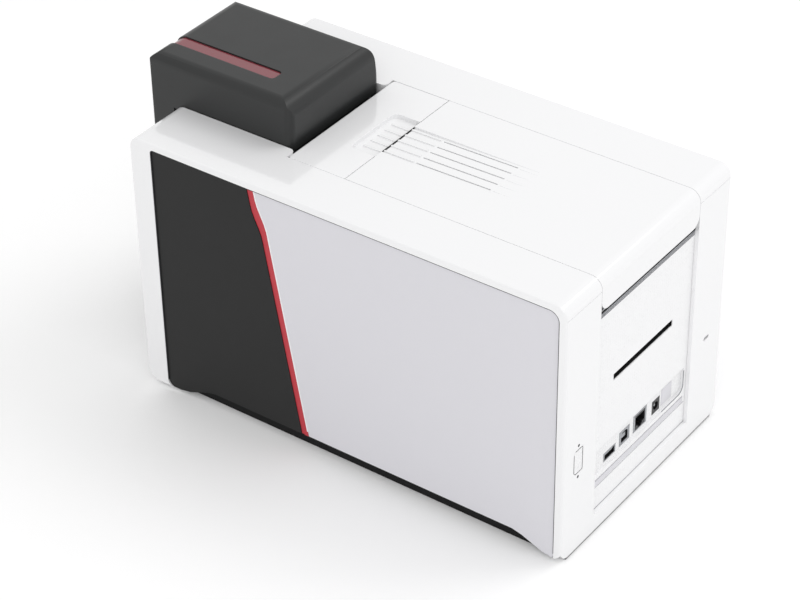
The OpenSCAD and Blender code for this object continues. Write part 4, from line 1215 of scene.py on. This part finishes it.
    def build(self, shop: Shop) -> None:
        """Makes the row.

        Args:
            shop: Fits the pieces to their bodies.
        """
        shop.fit("connector_shields", "port_steel", [self.shield(m) for m in self.mouths])
        shop.fit("connector_liners", "port_dark", [self.liner(m) for m in self.mouths if m.half])
        shop.fit("connector_contacts", "pinion_brass",
                 [pin for m in self.mouths for pin in self.contacts(m)])
        y = box("power_inlet")[1][1]
        (x0, z0), (x1, z1) = self.plate
        lap, stand, rounding = self.plate_edge
        # painted shade: a grey plate stands for the shaded pocket floor beside the inlet
        shop.fit("pocket_shade_plate", "panel_light",
                 [pillow((x0, y - lap, z0), (x1, y + stand, z1), rounding)])
        # painted shade: the dark line round the knock-out stands for the shade of its gap
        shop.fit("knockout_screws_and_shade_line", "port_dark", self.knockout_screws_and_shade_line())
        (left, _, foot), (right, y, _) = box("rear_panel")
        x, *edges = self.ledge
        floor, face, above, below = self.inlay
        # painted shade: grey lines and a grey inlay across the ledge stand for its shade
        shop.fit("ledge_lines", "button_grey",
                 [block((-x, y - floor, z - half), (x, y + proud, z + half))
                  for z, (half, proud) in zip(edges, self.ledge_lines)])
        shop.fit("ledge_shade_inlay", "panel_light",
                 [block((-x, y - floor, edges[0] + below), (x, y - face, edges[1] - above))])
        # painted shade: a grey bead stands for the dark line along the pocket's rim
        shop.fit("pocket_shade_bead", "button_grey", [self.pocket_shade_bead(y)])
        gap, (y0, y1), (z0, z1) = self.seal
        # painted shade: a grey strip at the panel's foot stands for the shade of the gap over the
        # sill
        shop.fit("sill_shade_line", "button_grey",
                 [block((left + gap, y + y0, foot + z0), (right - gap, y + y1, foot + z1))])


# ---- Seals: dark pieces that paint the shade in the seams ----------------


@dataclass
class ShadeSeals:
    """Dark foam, felt and rubber that paint the shade in the seams of the hood, and the card slot's
    dark sleeve, which paints the shade in the slot.

    Attributes:
        shelf: Distance in front of the rear panel's face, thickness, half height and
        rounding of the dark foam on the hinge shelf, painted shade under the hood's lip.
        knuckles: Distance from the middle at which the hinge's ears start and end.
        parting: Half width, depth and drop below the hood's top of the dark felt that paints
        the shade in the parting line, outside the grip and in it.
        hem: Drop of the felt's lower edge.
        bead: Highest and lowest edge of the dark bead that paints the shadow under the hood's
        lip, down from the rear panel's top, and how far it stands out of the panel.
        ribs: Highest and lowest edge of the grey ribs under the bead, which paint the shadow fading
            below it, and their stand.
        slot: Half width, and lowest and highest edge, of the rear card slot.
        sleeve: Thickness of the slot's dark sleeve, which paints the shade inside the slot, and
            where it starts and ends behind the face.
        post: Width, depth and lowest and highest edge, down from the bar's top, of the
        dark foam that paints the shade in the corners beside the release bar, and its lap.
        shelf_gap: End gap of the foam on the hinge shelf.
        lip: End gap, depth in the panel and rounding of the beads and ribs.
        corners: Outer and inner corner radius of the slot's sleeve.
    """

    shelf: tuple = (7.5, 1.6, 2.6, 0.6)
    knuckles: tuple = (33.0, 55.5)
    parting: tuple = ((61.1, 0.48, 0.45), (26.3, 1.25, 1.3))
    hem: float = 9.5
    bead: tuple = (((0.0, 0.95),), 0.55)
    ribs: tuple = (((0.8, 1.9), (2.5, 2.9), (3.5, 3.8), (4.5, 4.7)), 0.35)
    slot: tuple = (37.7, 114.56, 119.84)
    sleeve: tuple = (0.25, 6.9, 0.6)
    post: tuple = (0.45, 1.0, 8.0, 0.5, 0.05)
    shelf_gap: float = 0.3
    lip: tuple = (0.1, 0.4, 0.2)
    corners: tuple = (0.2, 0.2)

    def hinge_shade_strip(self) -> list:
        """Dark foam on the hinge shelf, painted shade seen through the gap under the hood's lip.

        Returns:
            The strips between and beside the ears.
        """
        high = box("rear_panel")[1]
        deep, thick, half, rounding = self.shelf
        (near, far), side, y = self.knuckles, high[0] - self.shelf_gap, high[1] - deep
        return [pillow((x0, y - thick, high[2] - half), (x1, y, high[2] + half), rounding)
                for x0, x1 in ((-near, near), (far, side), (-side, -far))]

    def parting_shade_strip(self) -> list:
        """Dark felt on the hood's front edge that paints the shade in the parting line.

        Returns:
            The strips outside the grip and in it.
        """
        low, high = box("hood")
        (end, thin, top), (grip, thick, drop) = self.parting
        y = low[1] + LAP
        spans = ((-end, -grip, thin, top), (grip, end, thin, top), (-grip, grip, thick, drop))
        return [block((a, y - deep, high[2] - self.hem), (b, y, high[2] - down))
                for a, b, deep, down in spans]

    def lip_painted_shadow(self, bands: tuple, proud: float) -> list:
        """Soft beads along the rear panel's top edge that paint the shadow under the hood's lip.

        Args:
            bands: Highest and lowest edge of each bead, down from the panel's top.
            proud: How far they stand out of the panel.

        Returns:
            The beads.
        """
        low, high = box("rear_panel")
        gap, deep, rounding = self.lip
        x0, x1, y = low[0] + gap, high[0] - gap, high[1]
        return [pillow((x0, y - deep, high[2] - bottom), (x1, y + proud, high[2] - top),
                       rounding, steps=3) for top, bottom in bands]

    def slot_shade_liner(self) -> Shape:
        """A dark sleeve in the throat of the rear card slot, painted shade of the slot's dark
        inside.

        Returns:
            The sleeve.
        """
        face = box("rear_panel")[1][1]
        x, z0, z1 = self.slot
        thick, deep, near = self.sleeve
        return rear_frame((-x, z0), (x, z1), thick, self.corners, (face - deep, face - near),
                          steps=2)

    def corner_shade_foam(self) -> list:
        """Dark foam in the corners between the release bar and the housings, painted shade of those
        corners.

        Returns:
            The right post and the left one.
        """
        low, high = box("release_bar")
        wide, deep, bottom, top, lap = self.post
        post = block((high[0] - wide, low[1], high[2] - bottom),
                     (high[0] + lap, low[1] + deep, high[2] - top))
        return [post, mirrored(post)]

    def build(self, shop: Shop) -> None:
        """Makes the strips.

        Args:
            shop: Fits the pieces to their bodies.
        """
        # painted shade: dark foam seen through the gap under the hood's lip
        shop.fit("hinge_shade_foam", "rubber_black", self.hinge_shade_strip())
        # painted shadow: a dark bead and grey ribs under the hood's lip
        shop.fit("lip_painted_shadow", "rubber_black", self.lip_painted_shadow(*self.bead))
        shop.fit("lip_painted_shadow_ribs", "button_grey", self.lip_painted_shadow(*self.ribs))
        # painted shade: a dark sleeve darkens the inside of the card slot
        shop.fit("card_slot_shade_liner", "rubber_black", [self.slot_shade_liner()])
        # painted shade: dark foam in the corners beside the release bar
        shop.fit("corner_shade_foam", "rubber_black", self.corner_shade_foam())
        # painted shade: dark felt along the parting line in front of the hood
        shop.fit("parting_shade_felt", "rubber_black", self.parting_shade_strip(), "hood")


# ---- Print engine --------------------------------------------------------


def pan_head(centre: tuple, axis: Axis, facing: int, radius: float, height: float) -> Shape:
    """A domed screw head with a recess in its middle.

    Args:
        centre: Middle of the seat under the head.
        axis: The screw's axis.
        facing: 1 if the head points along the axis, or -1 against it.
        radius: Radius of the head.
        height: Height of the head.

    Returns:
        The shape.
    """
    straight, flat = 0.35, 0.55  # where the dome starts and ends, as shares of height and radius
    mouth, floor, bottom = 0.42, 0.2, 0.45  # radii and height of the recess, as such shares
    rim = [(height * (straight + (1 - straight) * math.sin(t)),
            radius * (flat + (1 - flat) * math.cos(t))) for t in np.linspace(0, np.pi / 2, num=5)]
    recess = [(height, radius * mouth), (height * bottom, radius * floor), (height * bottom, 0)]
    profile = [(-LAP, 0), (-LAP, radius)] + rim + recess
    return turned([(facing * a, r) for a, r in profile], centre, axis, steps=20)


@dataclass
class Chassis:
    """Dark skirts under the panels, partly a dark base and partly painted contact shade, springs,
    screws of the frame, clips and hubs of the shafts.

    Attributes:
        crossbars: Places (y, z) of the crossbars' screws.
        driven: The rollers whose shafts carry clips outside the frame.
        clips: Where a clip starts and ends, from the shaft's high and from its low end.
        clip_radii: Inner and outer radius of a clip.
        flange: Distance of a spool's flanges from the middle.
        hub: Bore, radius, length and edge of a spool's hubs.
        teeth: Number, place, half width and length of a hub's teeth.
        arch: Height of the skirts at their ends and in the middle.
        ramp: Length over which a skirt rises.
        skirt: Thickness of the skirts.
        ends: Where the ramps start, in from the panels' front and rear end.
        wire: Radius of the springs' wire.
        turns: Turns of each spring.
        travel: Travel of the release bar; not used.
        screw: Radius and height of a screw's head.
        tooth_edge: Rounding of a hub's teeth.
        foot: Height of the skirts' lower edge, and just as much lap into the tray.
    """

    crossbars: tuple = ((-142, 104), (-84, 30), (-84, 92), (60, 30), (152, 28), (166, 98))
    driven: tuple = ("pick_roller", "feed_roller", "transport_roller", "exit_roller",
                     "platen_roller")
    clips: tuple = ((-1.35, -0.85), (0.06, 0.46))
    clip_radii: tuple = (3.0, 5.0)
    flange: float = 30.6
    hub: tuple = (3.02, 8.5, 3.6, 0.6)
    teeth: tuple = (6, 9.2, 1.0, 2.4)
    arch: tuple = (2.2, 12.2)
    ramp: float = 34.0
    skirt: float = 3.2
    ends: tuple = (11.4, 1.4)
    wire: float = 0.5
    turns: int = 5
    travel: float = 2.05
    screw: tuple = (3.2, 1.5)
    tooth_edge: float = 0.3
    foot: float = 0.4

    def screws(self) -> list:
        """Heads of the crossbars' screws, on both frame plates."""
        plate = box("frame_crossbars")[1][0] + 2
        return [pan_head((side * plate, y, z), Axis.X, side, *self.screw)
                for side in (-1, 1) for y, z in self.crossbars]

    def clip(self, roller: str) -> list:
        """Retaining clips at both ends of a roller's shaft.

        Args:
            roller: The roller.

        Returns:
            The clips.
        """
        centre = middle_of(roller) * (0, 1, 1)
        inner, outer = self.clip_radii
        sides = [(end[0] + a, end[0] + b) for end, (a, b) in zip(box(roller)[::-1], self.clips)]
        return [turned([(a, inner), (a, outer), (b, outer), (b, inner)], centre, Axis.X,
                       steps=28) for a, b in sides]

    def hubs(self, spool: str) -> list:
        """Toothed drive hubs outside a spool's flanges.

        Args:
            spool: The spool.

        Returns:
            The hubs and their teeth.
        """
        _, y, z = middle_of(spool)
        bore, radius, length, edge = self.hub
        count, place, half, deep = self.teeth
        near, far = self.flange, self.flange + length
        profile = ((near, bore), (near, radius), (far - edge, radius), (far, radius - edge),
                   (far, bore))
        shapes = []
        for side in (-1, 1):
            shapes.append(turned([(side * a, r) for a, r in profile], (0, y, z), Axis.X))
            low, high = sorted((side * near, side * (near + deep)))
            shapes += [pillow((low, v - half, w - half), (high, v + half, w + half),
                              self.tooth_edge, steps=1) for v, w in circle(place, count) + (y, z)]
        return shapes

    def skirts(self) -> list:
        """Dark skirts along the tray's sides, under the arches of the panels; their dark face is
        partly the base's own colour and partly painted contact shade.

        The arch rises by s = t * t * (3 - 2 * t) over its ramp at each end,
        where t goes from 0 to 1 along the ramp.

        Returns:
            The right skirt and the left one.
        """
        tray = box("base_tray")[1][0]
        front = box("right_dark_panel")[0][1] + self.ends[0]
        rear = box("right_light_panel")[1][1] - self.ends[1]
        y = np.linspace(front + 1, rear - 1, num=81)
        t = np.clip(np.stack([y - front, rear - y]) / self.ramp, 0, 1)
        rise = (t * t * (3 - 2 * t)).min(0)
        low, high = self.arch
        top = np.stack([y, low + (high - low) * rise], -1)
        outline = np.vstack([top, [[y[-1], self.foot], [y[0], self.foot]]])
        skirt = prism(outline, Axis.X, tray - self.foot, tray + self.skirt)
        return [skirt, mirrored(skirt)]

    def coils(self) -> list:
        """Coil springs between the latch bridge and the release bar.

        A point at angle a is the radius times (cos a, sin a) from the spring's
        middle line, at a height in proportion to a.

        Returns:
            The right spring and the left one.
        """
        low, high = box("latch_springs")
        radius = (high[1] - low[1]) / 2 - self.wire
        steps = 16 * self.turns
        turn = np.linspace(0, 2 * np.pi * self.turns, steps + 1)
        path = np.stack([high[0] - radius - self.wire + radius * np.cos(turn),
                         (low[1] + high[1]) / 2 + radius * np.sin(turn),
                         np.linspace(low[2] + self.wire, high[2] - self.wire, len(turn))], -1)
        coil = swept(path, circle(self.wire, steps=8), (0, 0, 1))
        return [coil, mirrored(coil)]

    def build(self, shop: Shop) -> None:
        """Makes the skirts, springs, screws, clips and hubs.

        Args:
            shop: Fits the pieces to their bodies.
        """
        # partly painted shade: dark skirts under the arches also stand for the contact shade below
        # the panels
        shop.fit("arch_skirts_and_shade", "rubber_black", self.skirts())
        springs = shop.fit("latch_spring_coils", "frame_steel", self.coils(),
                           body_of("latch_springs"))
        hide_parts("latch_springs")
        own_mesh(springs)
        shop.fit("crossbar_screws", "port_steel", self.screws())
        for roller in self.driven:
            shop.fit(roller + "_clips", "port_steel", self.clip(roller), body_of(roller))
        for spool in ("supply_spool", "take_up_spool"):
            shop.fit(spool + "_hubs", "gear_white", self.hubs(spool), body_of(spool))


@dataclass
class DriveMotor:
    """End bell, plug and leads of the motor.

    Attributes:
        bell: Profile of the end bell: rows of (distance from the motor's face, radius).
        screws: Distance of the bell's screws from the middle, along Y and Z.
        plug: The motor's plug: low and high corner from the middle of its face.
        header: The board's header: low and high corner, with Z from the board's face.
        wire: Radius of a lead.
        leads: Material slot of each lead.
        pitch: Distance between leads.
        route: The leads' knots from the header, with Z from the board's face.
        drop: Depth of the plug's middle under the motor's.
        ending: Place of the leads' last bend along X, its distance from the motor's
            middle along Y, and how far from the face they enter the plug.
        screw: Radius and height of a screw's head.
        edge: Rounding of the plug and the header.
        flat: Direction across the leads' course that stays level.
    """

    bell: tuple = ((-0.02, 0), (-0.02, 15.4), (1.2, 15.4), (1.8, 14.6), (1.8, 5.2), (3.2, 4.6),
                   (3.2, 0))
    screws: float = 14.0
    plug: tuple = ((1.7, -4.4, -12.2), (5.2, 4.4, -7.2))
    header: tuple = ((-27.6, 100.6, -0.02), (-17.4, 105.6, 6.4))
    wire: float = 0.65
    leads: tuple = ("accent_red", "inner_dark", "gear_white", "cleaner_blue")
    pitch: float = 1.9
    route: tuple = ((-22.5, 103.1, 6.0), (-22.4, 103.1, 9.5), (-12.5, 101.0, 15), (-7.0, 95.0, 22))
    drop: float = 9.7
    ending: tuple = (-7.4, 2, 5)
    screw: tuple = (1.6, 1.0)
    edge: float = 0.4
    flat: tuple = (0, 0.35, 1)

    def build(self, shop: Shop) -> None:
        """Makes the end bell, its screws and the leads to the board.

        Args:
            shop: Fits the pieces to their bodies.
        """
        _, y, z = middle_of("drive_motor")
        face, top = box("drive_motor")[1][0], box("usb_a_port")[0][2]
        shop.fit("motor_bell", "frame_steel",
                 [turned([(face + a, r) for a, r in self.bell], (0, y, z), Axis.X, steps=40)])
        shop.fit("motor_screws", "port_steel",
                 [pan_head((face, y + a, z + b), Axis.X, 1, *self.screw)
                  for a in (-self.screws, self.screws) for b in (-self.screws, self.screws)])
        for name, corners, origin in (("motor_socket", self.plug, (face, y, z)),
                                      ("motor_header", self.header, (0, 0, top))):
            shop.fit(name, "gear_white", [pillow(*(np.array(corners) + origin), self.edge)])
        bend, near, deep = self.ending
        for i, slot in enumerate(self.leads):
            off = (i - (len(self.leads) - 1) / 2) * self.pitch
            knots = [(x + off, along, top + up) for x, along, up in self.route]
            knots += [(bend + off, y + near + off, z - self.drop),
                      (face + deep, y + off, z - self.drop)]
            shop.fit(f"motor_lead_{i + 1}", slot,
                     [swept(smooth_path(knots), circle(self.wire), self.flat)])


@dataclass
class Board:
    """Parts on the main board.

    Attributes:
        chips: Middle and side of each chip, as the solid has them.
        cans: Places of the capacitors.
        headers: Low (x, y) and size of the white headers.
        small: Where the rows of small parts start and end along X, and their pitch.
        rows: Places of those rows along Y.
        screws: Places of the board's screws.
        chip: Lap over the solid's chip, height and rounding.
        lead: Distance of a side's first lead from the corner, and the length, half
            width and height of a lead.
        sleeve: Profile of a capacitor's sleeve: rows of (height, radius).
        cap: Profile of its top.
        header: Height and rounding of the headers.
        part: Half length, half width and height of a small part.
        clear: Middle along X, half width and far edge of the patch without small parts.
        screw: Radius and height of a screw's head.
    """

    chips: tuple = ((-24, 116, 16), (6, 118, 12), (26, 124, 9))
    cans: tuple = ((-35, 133), (-35, 143), (-35, 153), (36, 146))
    headers: tuple = ((-6, 100, 9, 4.4), (8, 100, 12, 4.4), (-20, 146, 6, 10), (14, 146, 8, 6))
    small: tuple = (-30, 34, 5.2)
    rows: tuple = (130.5, 134.5, 138.5)
    screws: tuple = ((-38, 102), (38, 102))
    chip: tuple = (0.06, 1.88, 0.2)
    lead: tuple = (0.8, 1.3, 0.2, 0.3)
    sleeve: tuple = ((0, 0), (0, 3.6), (9.4, 3.6), (9.8, 3.2), (9.8, 0))
    cap: tuple = ((9.78, 0), (9.78, 2.8), (9.9, 2.6), (9.9, 0))
    header: tuple = (5.8, 0.3)
    part: tuple = (0.8, 0.5, 0.5)
    clear: tuple = (26, 7, 131)
    screw: tuple = (2.8, 1.7)

    def leads(self, top: float) -> list:
        """Gull-wing leads along the four sides of each chip.

        Args:
            top: Height of the board's face.

        Returns:
            The leads.
        """
        shapes = []
        margin, length, half, thick = self.lead
        for x, y, side in self.chips:
            for place in (np.arange(side) - (side - 1) / 2) * (side - 2 * margin) / side:
                for sign in (-1, 1):
                    a, b = sorted((sign * side / 2, sign * (side / 2 + length)))
                    low, high = place - half, place + half
                    shapes.append(block((x + low, y + a, top), (x + high, y + b, top + thick)))
                    shapes.append(block((x + a, y + low, top), (x + b, y + high, top + thick)))
        return shapes

    def cans_at(self, top: float, profile: tuple) -> list:
        """One part for each capacitor, turned from a profile, on the board's face."""
        return [turned(profile, (x, y, top), Axis.Z, steps=24) for x, y in self.cans]

    def small_parts(self, top: float) -> list:
        """Rows of small resistors between the chips.

        Args:
            top: Height of the board's face.

        Returns:
            The resistors.
        """
        half, across, height = self.part
        middle, beside, behind = self.clear
        places = [(x, y) for x in np.arange(*self.small) for y in self.rows]
        return [block((x - half, y - across, top), (x + half, y + across, top + height))
                for x, y in places if abs(x - middle) > beside or y > behind]

    def build(self, shop: Shop) -> None:
        """Makes the parts.

        Args:
            shop: Fits the pieces to their bodies.
        """
        top = box("usb_a_port")[0][2]
        lap, height, rounding = self.chip
        chips = [(x, y, side / 2 + lap) for x, y, side in self.chips]
        shop.fit("board_chips", "port_dark",
                 [pillow((x - half, y - half, top), (x + half, y + half, top + height), rounding,
                         steps=1) for x, y, half in chips])
        shop.fit("board_leads", "port_steel", self.leads(top))
        shop.fit("board_can_sleeves", "motor_dark", self.cans_at(top, self.sleeve))
        shop.fit("board_can_tops", "port_steel", self.cans_at(top, self.cap))
        height, rounding = self.header
        shop.fit("board_headers", "gear_white",
                 [pillow((x, y, top - LAP), (x + w, y + d, top + height), rounding)
                  for x, y, w, d in self.headers])
        shop.fit("board_small_parts", "inner_dark", self.small_parts(top))
        shop.fit("board_screws", "port_steel",
                 [pan_head((x, y, top), Axis.Z, 1, *self.screw) for x, y in self.screws])


@dataclass
class PrintHead:
    """Heat sink, glazed print line, plugs, cables and screws of the print head.

    Attributes:
        fins: Number of fins.
        fin: Thickness of one fin.
        deep: Depth of the fins.
        sink: Lowest and highest edge of the heat sink, above the head's top.
        plate: Thickness and end gap of the plate under the fins, and the fins' lap in it.
        line: Radius of the print line, its end gap and its height over the head's foot.
        cover: End gap of the cover beside it, its span along Y from the head's middle
            and from its back, its lowest and highest edge, and its rounding.
        plug: Distance of the plugs from the middle, and half their width.
        plug_size: Depth in front of the head, lowest and highest edge down from its
            top, and rounding of the plugs.
        screws: Distance of the screws from the middle, on the head and on the roof.
        heads: Radius of the screws' heads, on the head and on the roof, and their height.
        seat: Thickness of what the screws hold.
        cable: Half width and half thickness of a cable.
        route: The cables' first knots: Y from the head's front and Z from its top.
        ending: Their last knots: Y from the head's front and Z from the roof.
        clamp: Half length of the cables' clamp, where it starts and ends in front of
            the head, its height and its rounding.
    """

    fins: int = 15
    fin: float = 1.1
    deep: float = 8.0
    sink: tuple = (4, 36)
    plate: tuple = (2.2, 1.5, 0.1)
    line: tuple = (1.1, 1, 0.9)
    cover: tuple = (3, (3.2, 0.6), (0.3, 1.3), 0.3)
    plug: tuple = (17, 6)
    plug_size: tuple = (4.2, 4.4, 0.4, 0.3)
    screws: tuple = (22, 38)
    heads: tuple = (2.6, 2.8, 1.6)
    seat: float = 2.0
    cable: tuple = (7.0, 0.45)
    route: tuple = ((-3.6, -2.4), (-7.5, -1), (-8.5, 6), (-5.5, 30))
    ending: tuple = ((-4.5, -22), (-4.0, -3))
    clamp: tuple = (27, 7, 1.2, 4, 0.6)

    def heat_sink(self) -> list:
        """A finned block behind the bracket.

        Returns:
            Its plate and its fins.
        """
        high = box("printhead")[1]
        thick, gap, lap = self.plate
        x, y, half = high[0] - gap, high[1], self.fin / 2
        z0, z1 = high[2] + self.sink[0], high[2] + self.sink[1]
        return [block((-x, y - LAP, z0), (x, y + thick, z1))] + [
            block((place - half, y + thick - lap, z0), (place + half, y + self.deep, z1))
            for place in np.linspace(-x + half, x - half, self.fins)]

    def build(self, shop: Shop) -> None:
        """Makes the parts on the hood.

        Args:
            shop: Fits the pieces to their bodies.
        """
        low, high = box("printhead")
        x, middle, top, front = high[0], (low[1] + high[1]) / 2, high[2], low[1]
        roof = box("printhead_bracket")[1][2]
        shop.fit("head_heat_sink", "port_steel", self.heat_sink(), "hood")
        radius, gap, rise = self.line
        shop.fit("head_print_line", "gear_white",
                 [turned(disc(gap - x, x - gap, radius), (0, middle, low[2] + rise), Axis.X,
                         steps=20)], "hood")
        gap, (start, end), (bottom, rise), rounding = self.cover
        shop.fit("head_driver_cover", "inner_dark",
                 [pillow((gap - x, middle + start, low[2] + bottom),
                         (x - gap, high[1] - end, low[2] + rise), rounding)], "hood")
        place, half = self.plug
        deep, bottom, rise, rounding = self.plug_size
        shop.fit("head_plugs", "gear_white",
                 [pillow((side * place - half, front - deep, top - bottom),
                         (side * place + half, front + LAP, top - rise), rounding)
                  for side in (-1, 1)], "hood")
        lower, upper, height = self.heads
        shop.fit("head_screws", "frame_steel",
                 [pan_head((side * out, middle, z), Axis.Z, facing, radius, height)
                  for out, z, facing, radius in ((self.screws[0], top + self.seat, 1, lower),
                                                 (self.screws[1], roof - self.seat, -1, upper))
                  for side in (-1, 1)], "hood")
        for side, name in ((-1, "left"), (1, "right")):
            knots = [(side * place, front + y, level + z)
                     for level, part in ((top, self.route), (roof, self.ending)) for y, z in part]
            shop.fit(f"head_cable_{name}", "gear_white",
                     [swept(smooth_path(knots), circle(1.0, steps=16) * self.cable, (1, 0, 0))],
                     "hood")
        half, start, end, height, rounding = self.clamp
        shop.fit("head_cable_clamp", "inner_dark",
                 [pillow((-half, front - start, roof - height), (half, front - end, roof + LAP),
                         rounding)], "hood")


@dataclass
class Feeder:
    """Fittings of the card feeder, the front column and the output bin.

    Attributes:
        deck: Height of the feeder's deck above the lid's lowest edge.
        screws: Distance of the deck's screws from the middle, and from the hopper's
            front and rear.
        ribs: Places of the bin floor's ribs from the middle.
        rib: Half width, end gap, depth in the floor and height of a rib.
        ring: Profile of the button's ring: rows of (distance from the face, radius).
        dimple: Start, end and radius of the button's dimple, from its face.
        screw: Radius and height of a screw's head.
        rib_edge: Rounding of a rib.
        bin_floor: Thickness of the bin's floor.
    """

    deck: float = 27.0
    screws: tuple = (44, 14, 8)
    ribs: tuple = (-20.0, -10.0, 0.0, 10.0, 20.0)
    rib: tuple = (0.7, 3, 0.4, 0.8)
    ring: tuple = ((-0.12, 7.5), (-0.12, 8.3), (0.4, 8.5), (0.4, 7.42))
    dimple: tuple = (-0.03, 0.3, 2.2)
    screw: tuple = (2.6, 1.5)
    rib_edge: float = 0.35
    bin_floor: float = 2.0

    def build(self, shop: Shop) -> None:
        """Makes the fittings.

        Args:
            shop: Fits the pieces to their bodies.
        """
        low, high = box("input_hopper")
        out, front, rear = self.screws
        top = box("feeder_lid")[0][2] + self.deck
        shop.fit("deck_screws", "port_steel",
                 [pan_head((side * out, y, top), Axis.Z, 1, *self.screw) for side in (-1, 1)
                  for y in (low[1] + front, high[1] - rear)])
        low, high = box("output_bin")
        half, gap, sunk, rise = self.rib
        floor = low[2] + self.bin_floor
        shop.fit("bin_ribs", "inner_dark",
                 [pillow((x - half, low[1] + gap, floor - sunk),
                         (x + half, high[1] - gap, floor + rise), self.rib_edge)
                  for x in self.ribs])
        centre = middle_of("control_button") * (0, 0, 1)
        face, button = box("front_fascia")[0][1], box("control_button")[0][1]
        shop.fit("button_ring", "port_steel",
                 [turned([(face + a, r) for a, r in self.ring], centre, Axis.Y, steps=48)])
        start, end, radius = self.dimple
        shop.fit("button_dimple", "motor_dark",
                 [turned(disc(button + start, button + end, radius), centre, Axis.Y)],
                 "control_button")


# ---- The studio ----------------------------------------------------------


@dataclass
class Studio:
    """Camera, lamps, floor and backdrop.

    Attributes:
        eye: Where the camera stands, in metres.
        azimuth: Turn of the view about Z, in degrees.
        elevation: Height of the view above the floor, in degrees.
        roll: Turn of the picture, in degrees.
        lens: Focal length.
        sensor: Width of the picture behind the lens.
        near: Distance in metres from which the camera sees.
        lamps: Name, place in metres, side in metres and power in watts of each lamp.
        aim: What the lamps face, in metres.
        sky: Strength of the even light all round.
        floor_half: Half the floor's side.
        paper: Share of light that the floor returns.
        lift: Light that the floor adds in the picture, so that it shows white.
        shade: Distance in metres within which the printer keeps that light off the floor.
        tint: Range of the floor's tint.
        dull: Roughness of the floor and strength of its reflections.
    """

    eye: tuple = (1.21627, 0.88253, 1.16105)
    azimuth: float = 126.38
    elevation: float = 35.71
    roll: float = -0.93
    lens: float = 116.37
    sensor: float = 36.0
    near: float = 0.05
    lamps: tuple = (("key", (-1.0, 0.9, 1.9), 1.0, 9), ("fill", (1.7, 1.0, 1.4), 1.2, 7))
    aim: tuple = (0, 0, 0.12)
    sky: float = 0.82
    floor_half: float = 6000.0
    paper: float = 0.93
    lift: float = 0.13
    shade: float = 0.12
    tint: tuple = (0.99, 1.01)
    dull: tuple = (0.9, 0.1)

    def camera(self) -> None:
        """Makes the camera."""
        data = bpy.data.cameras.new("camera")
        data.sensor_width = self.sensor
        data.lens = self.lens
        data.clip_start = self.near
        camera = linked("camera", data)
        camera.matrix_world = Matrix.Translation(self.eye)
        for angle, axis in ((self.azimuth, "Z"), (90 - self.elevation, "X"), (self.roll, "Z")):
            camera.matrix_world @= Matrix.Rotation(math.radians(angle), 4, axis)
        bpy.context.scene.camera = camera

    def lamp(self, name: str, place: tuple, size: float, watts: float) -> None:
        """Hangs a soft square lamp that faces the printer.

        Args:
            name: Name of the lamp.
            place: Its position in metres.
            size: Its side in metres.
            watts: Its power.
        """
        data = bpy.data.lights.new(name, "AREA")
        data.size = size
        data.energy = watts
        turn = (Vector(self.aim) - Vector(place)).to_track_quat("-Z", "Y").to_matrix().to_4x4()
        linked(name, data).matrix_world = Matrix.Translation(place) @ turn

    def floor(self) -> None:
        """Lays a pale floor that shows white where no shadow falls."""
        half = self.floor_half
        floor = mesh_object("floor", [block((-half, -half, -10), (half, half, 0))])
        g = Graph("floor_paper")
        g.tint((self.paper,) * 3, g.noise(3, 2), *self.tint)
        sky = g.add("ShaderNodeAmbientOcclusion", {"Distance": self.shade}, "AO", samples=8)
        shown = g.worked("MULTIPLY", g.seen(), sky)
        rough, shine = self.dull
        g.set(Roughness=rough, Specular_IOR_Level=shine, Emission_Color=(1, 1, 1, 1),
              Emission_Strength=g.worked("MULTIPLY", shown, self.lift))
        floor.data.materials.append(g.material)

    def world(self) -> None:
        """Lights the scene evenly and shows white behind it and in gloss."""
        world = bpy.data.worlds.new("studio")
        world.use_nodes = True
        tree = Tree(world.node_tree)
        strength = tree.spread(tree.seen(), self.sky, 1.0, 0.0, 1.0)
        tree.feed(tree.tree.nodes["Background"], {"Color": (1, 1, 1, 1), "Strength": strength})
        bpy.context.scene.world = world

    def build(self) -> None:
        """Sets up the whole studio."""
        bpy.context.scene.view_settings.view_transform = "Standard"
        self.camera()
        for lamp in self.lamps:
            self.lamp(*lamp)
        self.floor()
        self.world()


def main() -> None:
    """Builds the looks of the printer."""
    logging.basicConfig(level=logging.INFO, format="%(message)s")
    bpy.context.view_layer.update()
    slots = {s["node"]: s["material_slot"] for s in frame["record"]["subparts"]}
    shop = Shop(finishes(), slots)
    Studio().build()
    shop.dress_solids()
    for group in (Mouldings(), PanelShadeGaskets(), StripeHighlight(), RearHeel(), ConnectorRow(), ShadeSeals(),
                  Chassis(), DriveMotor(), Board(), PrintHead(), Feeder()):
        group.build(shop)


if __name__ == "__main__":
    main()
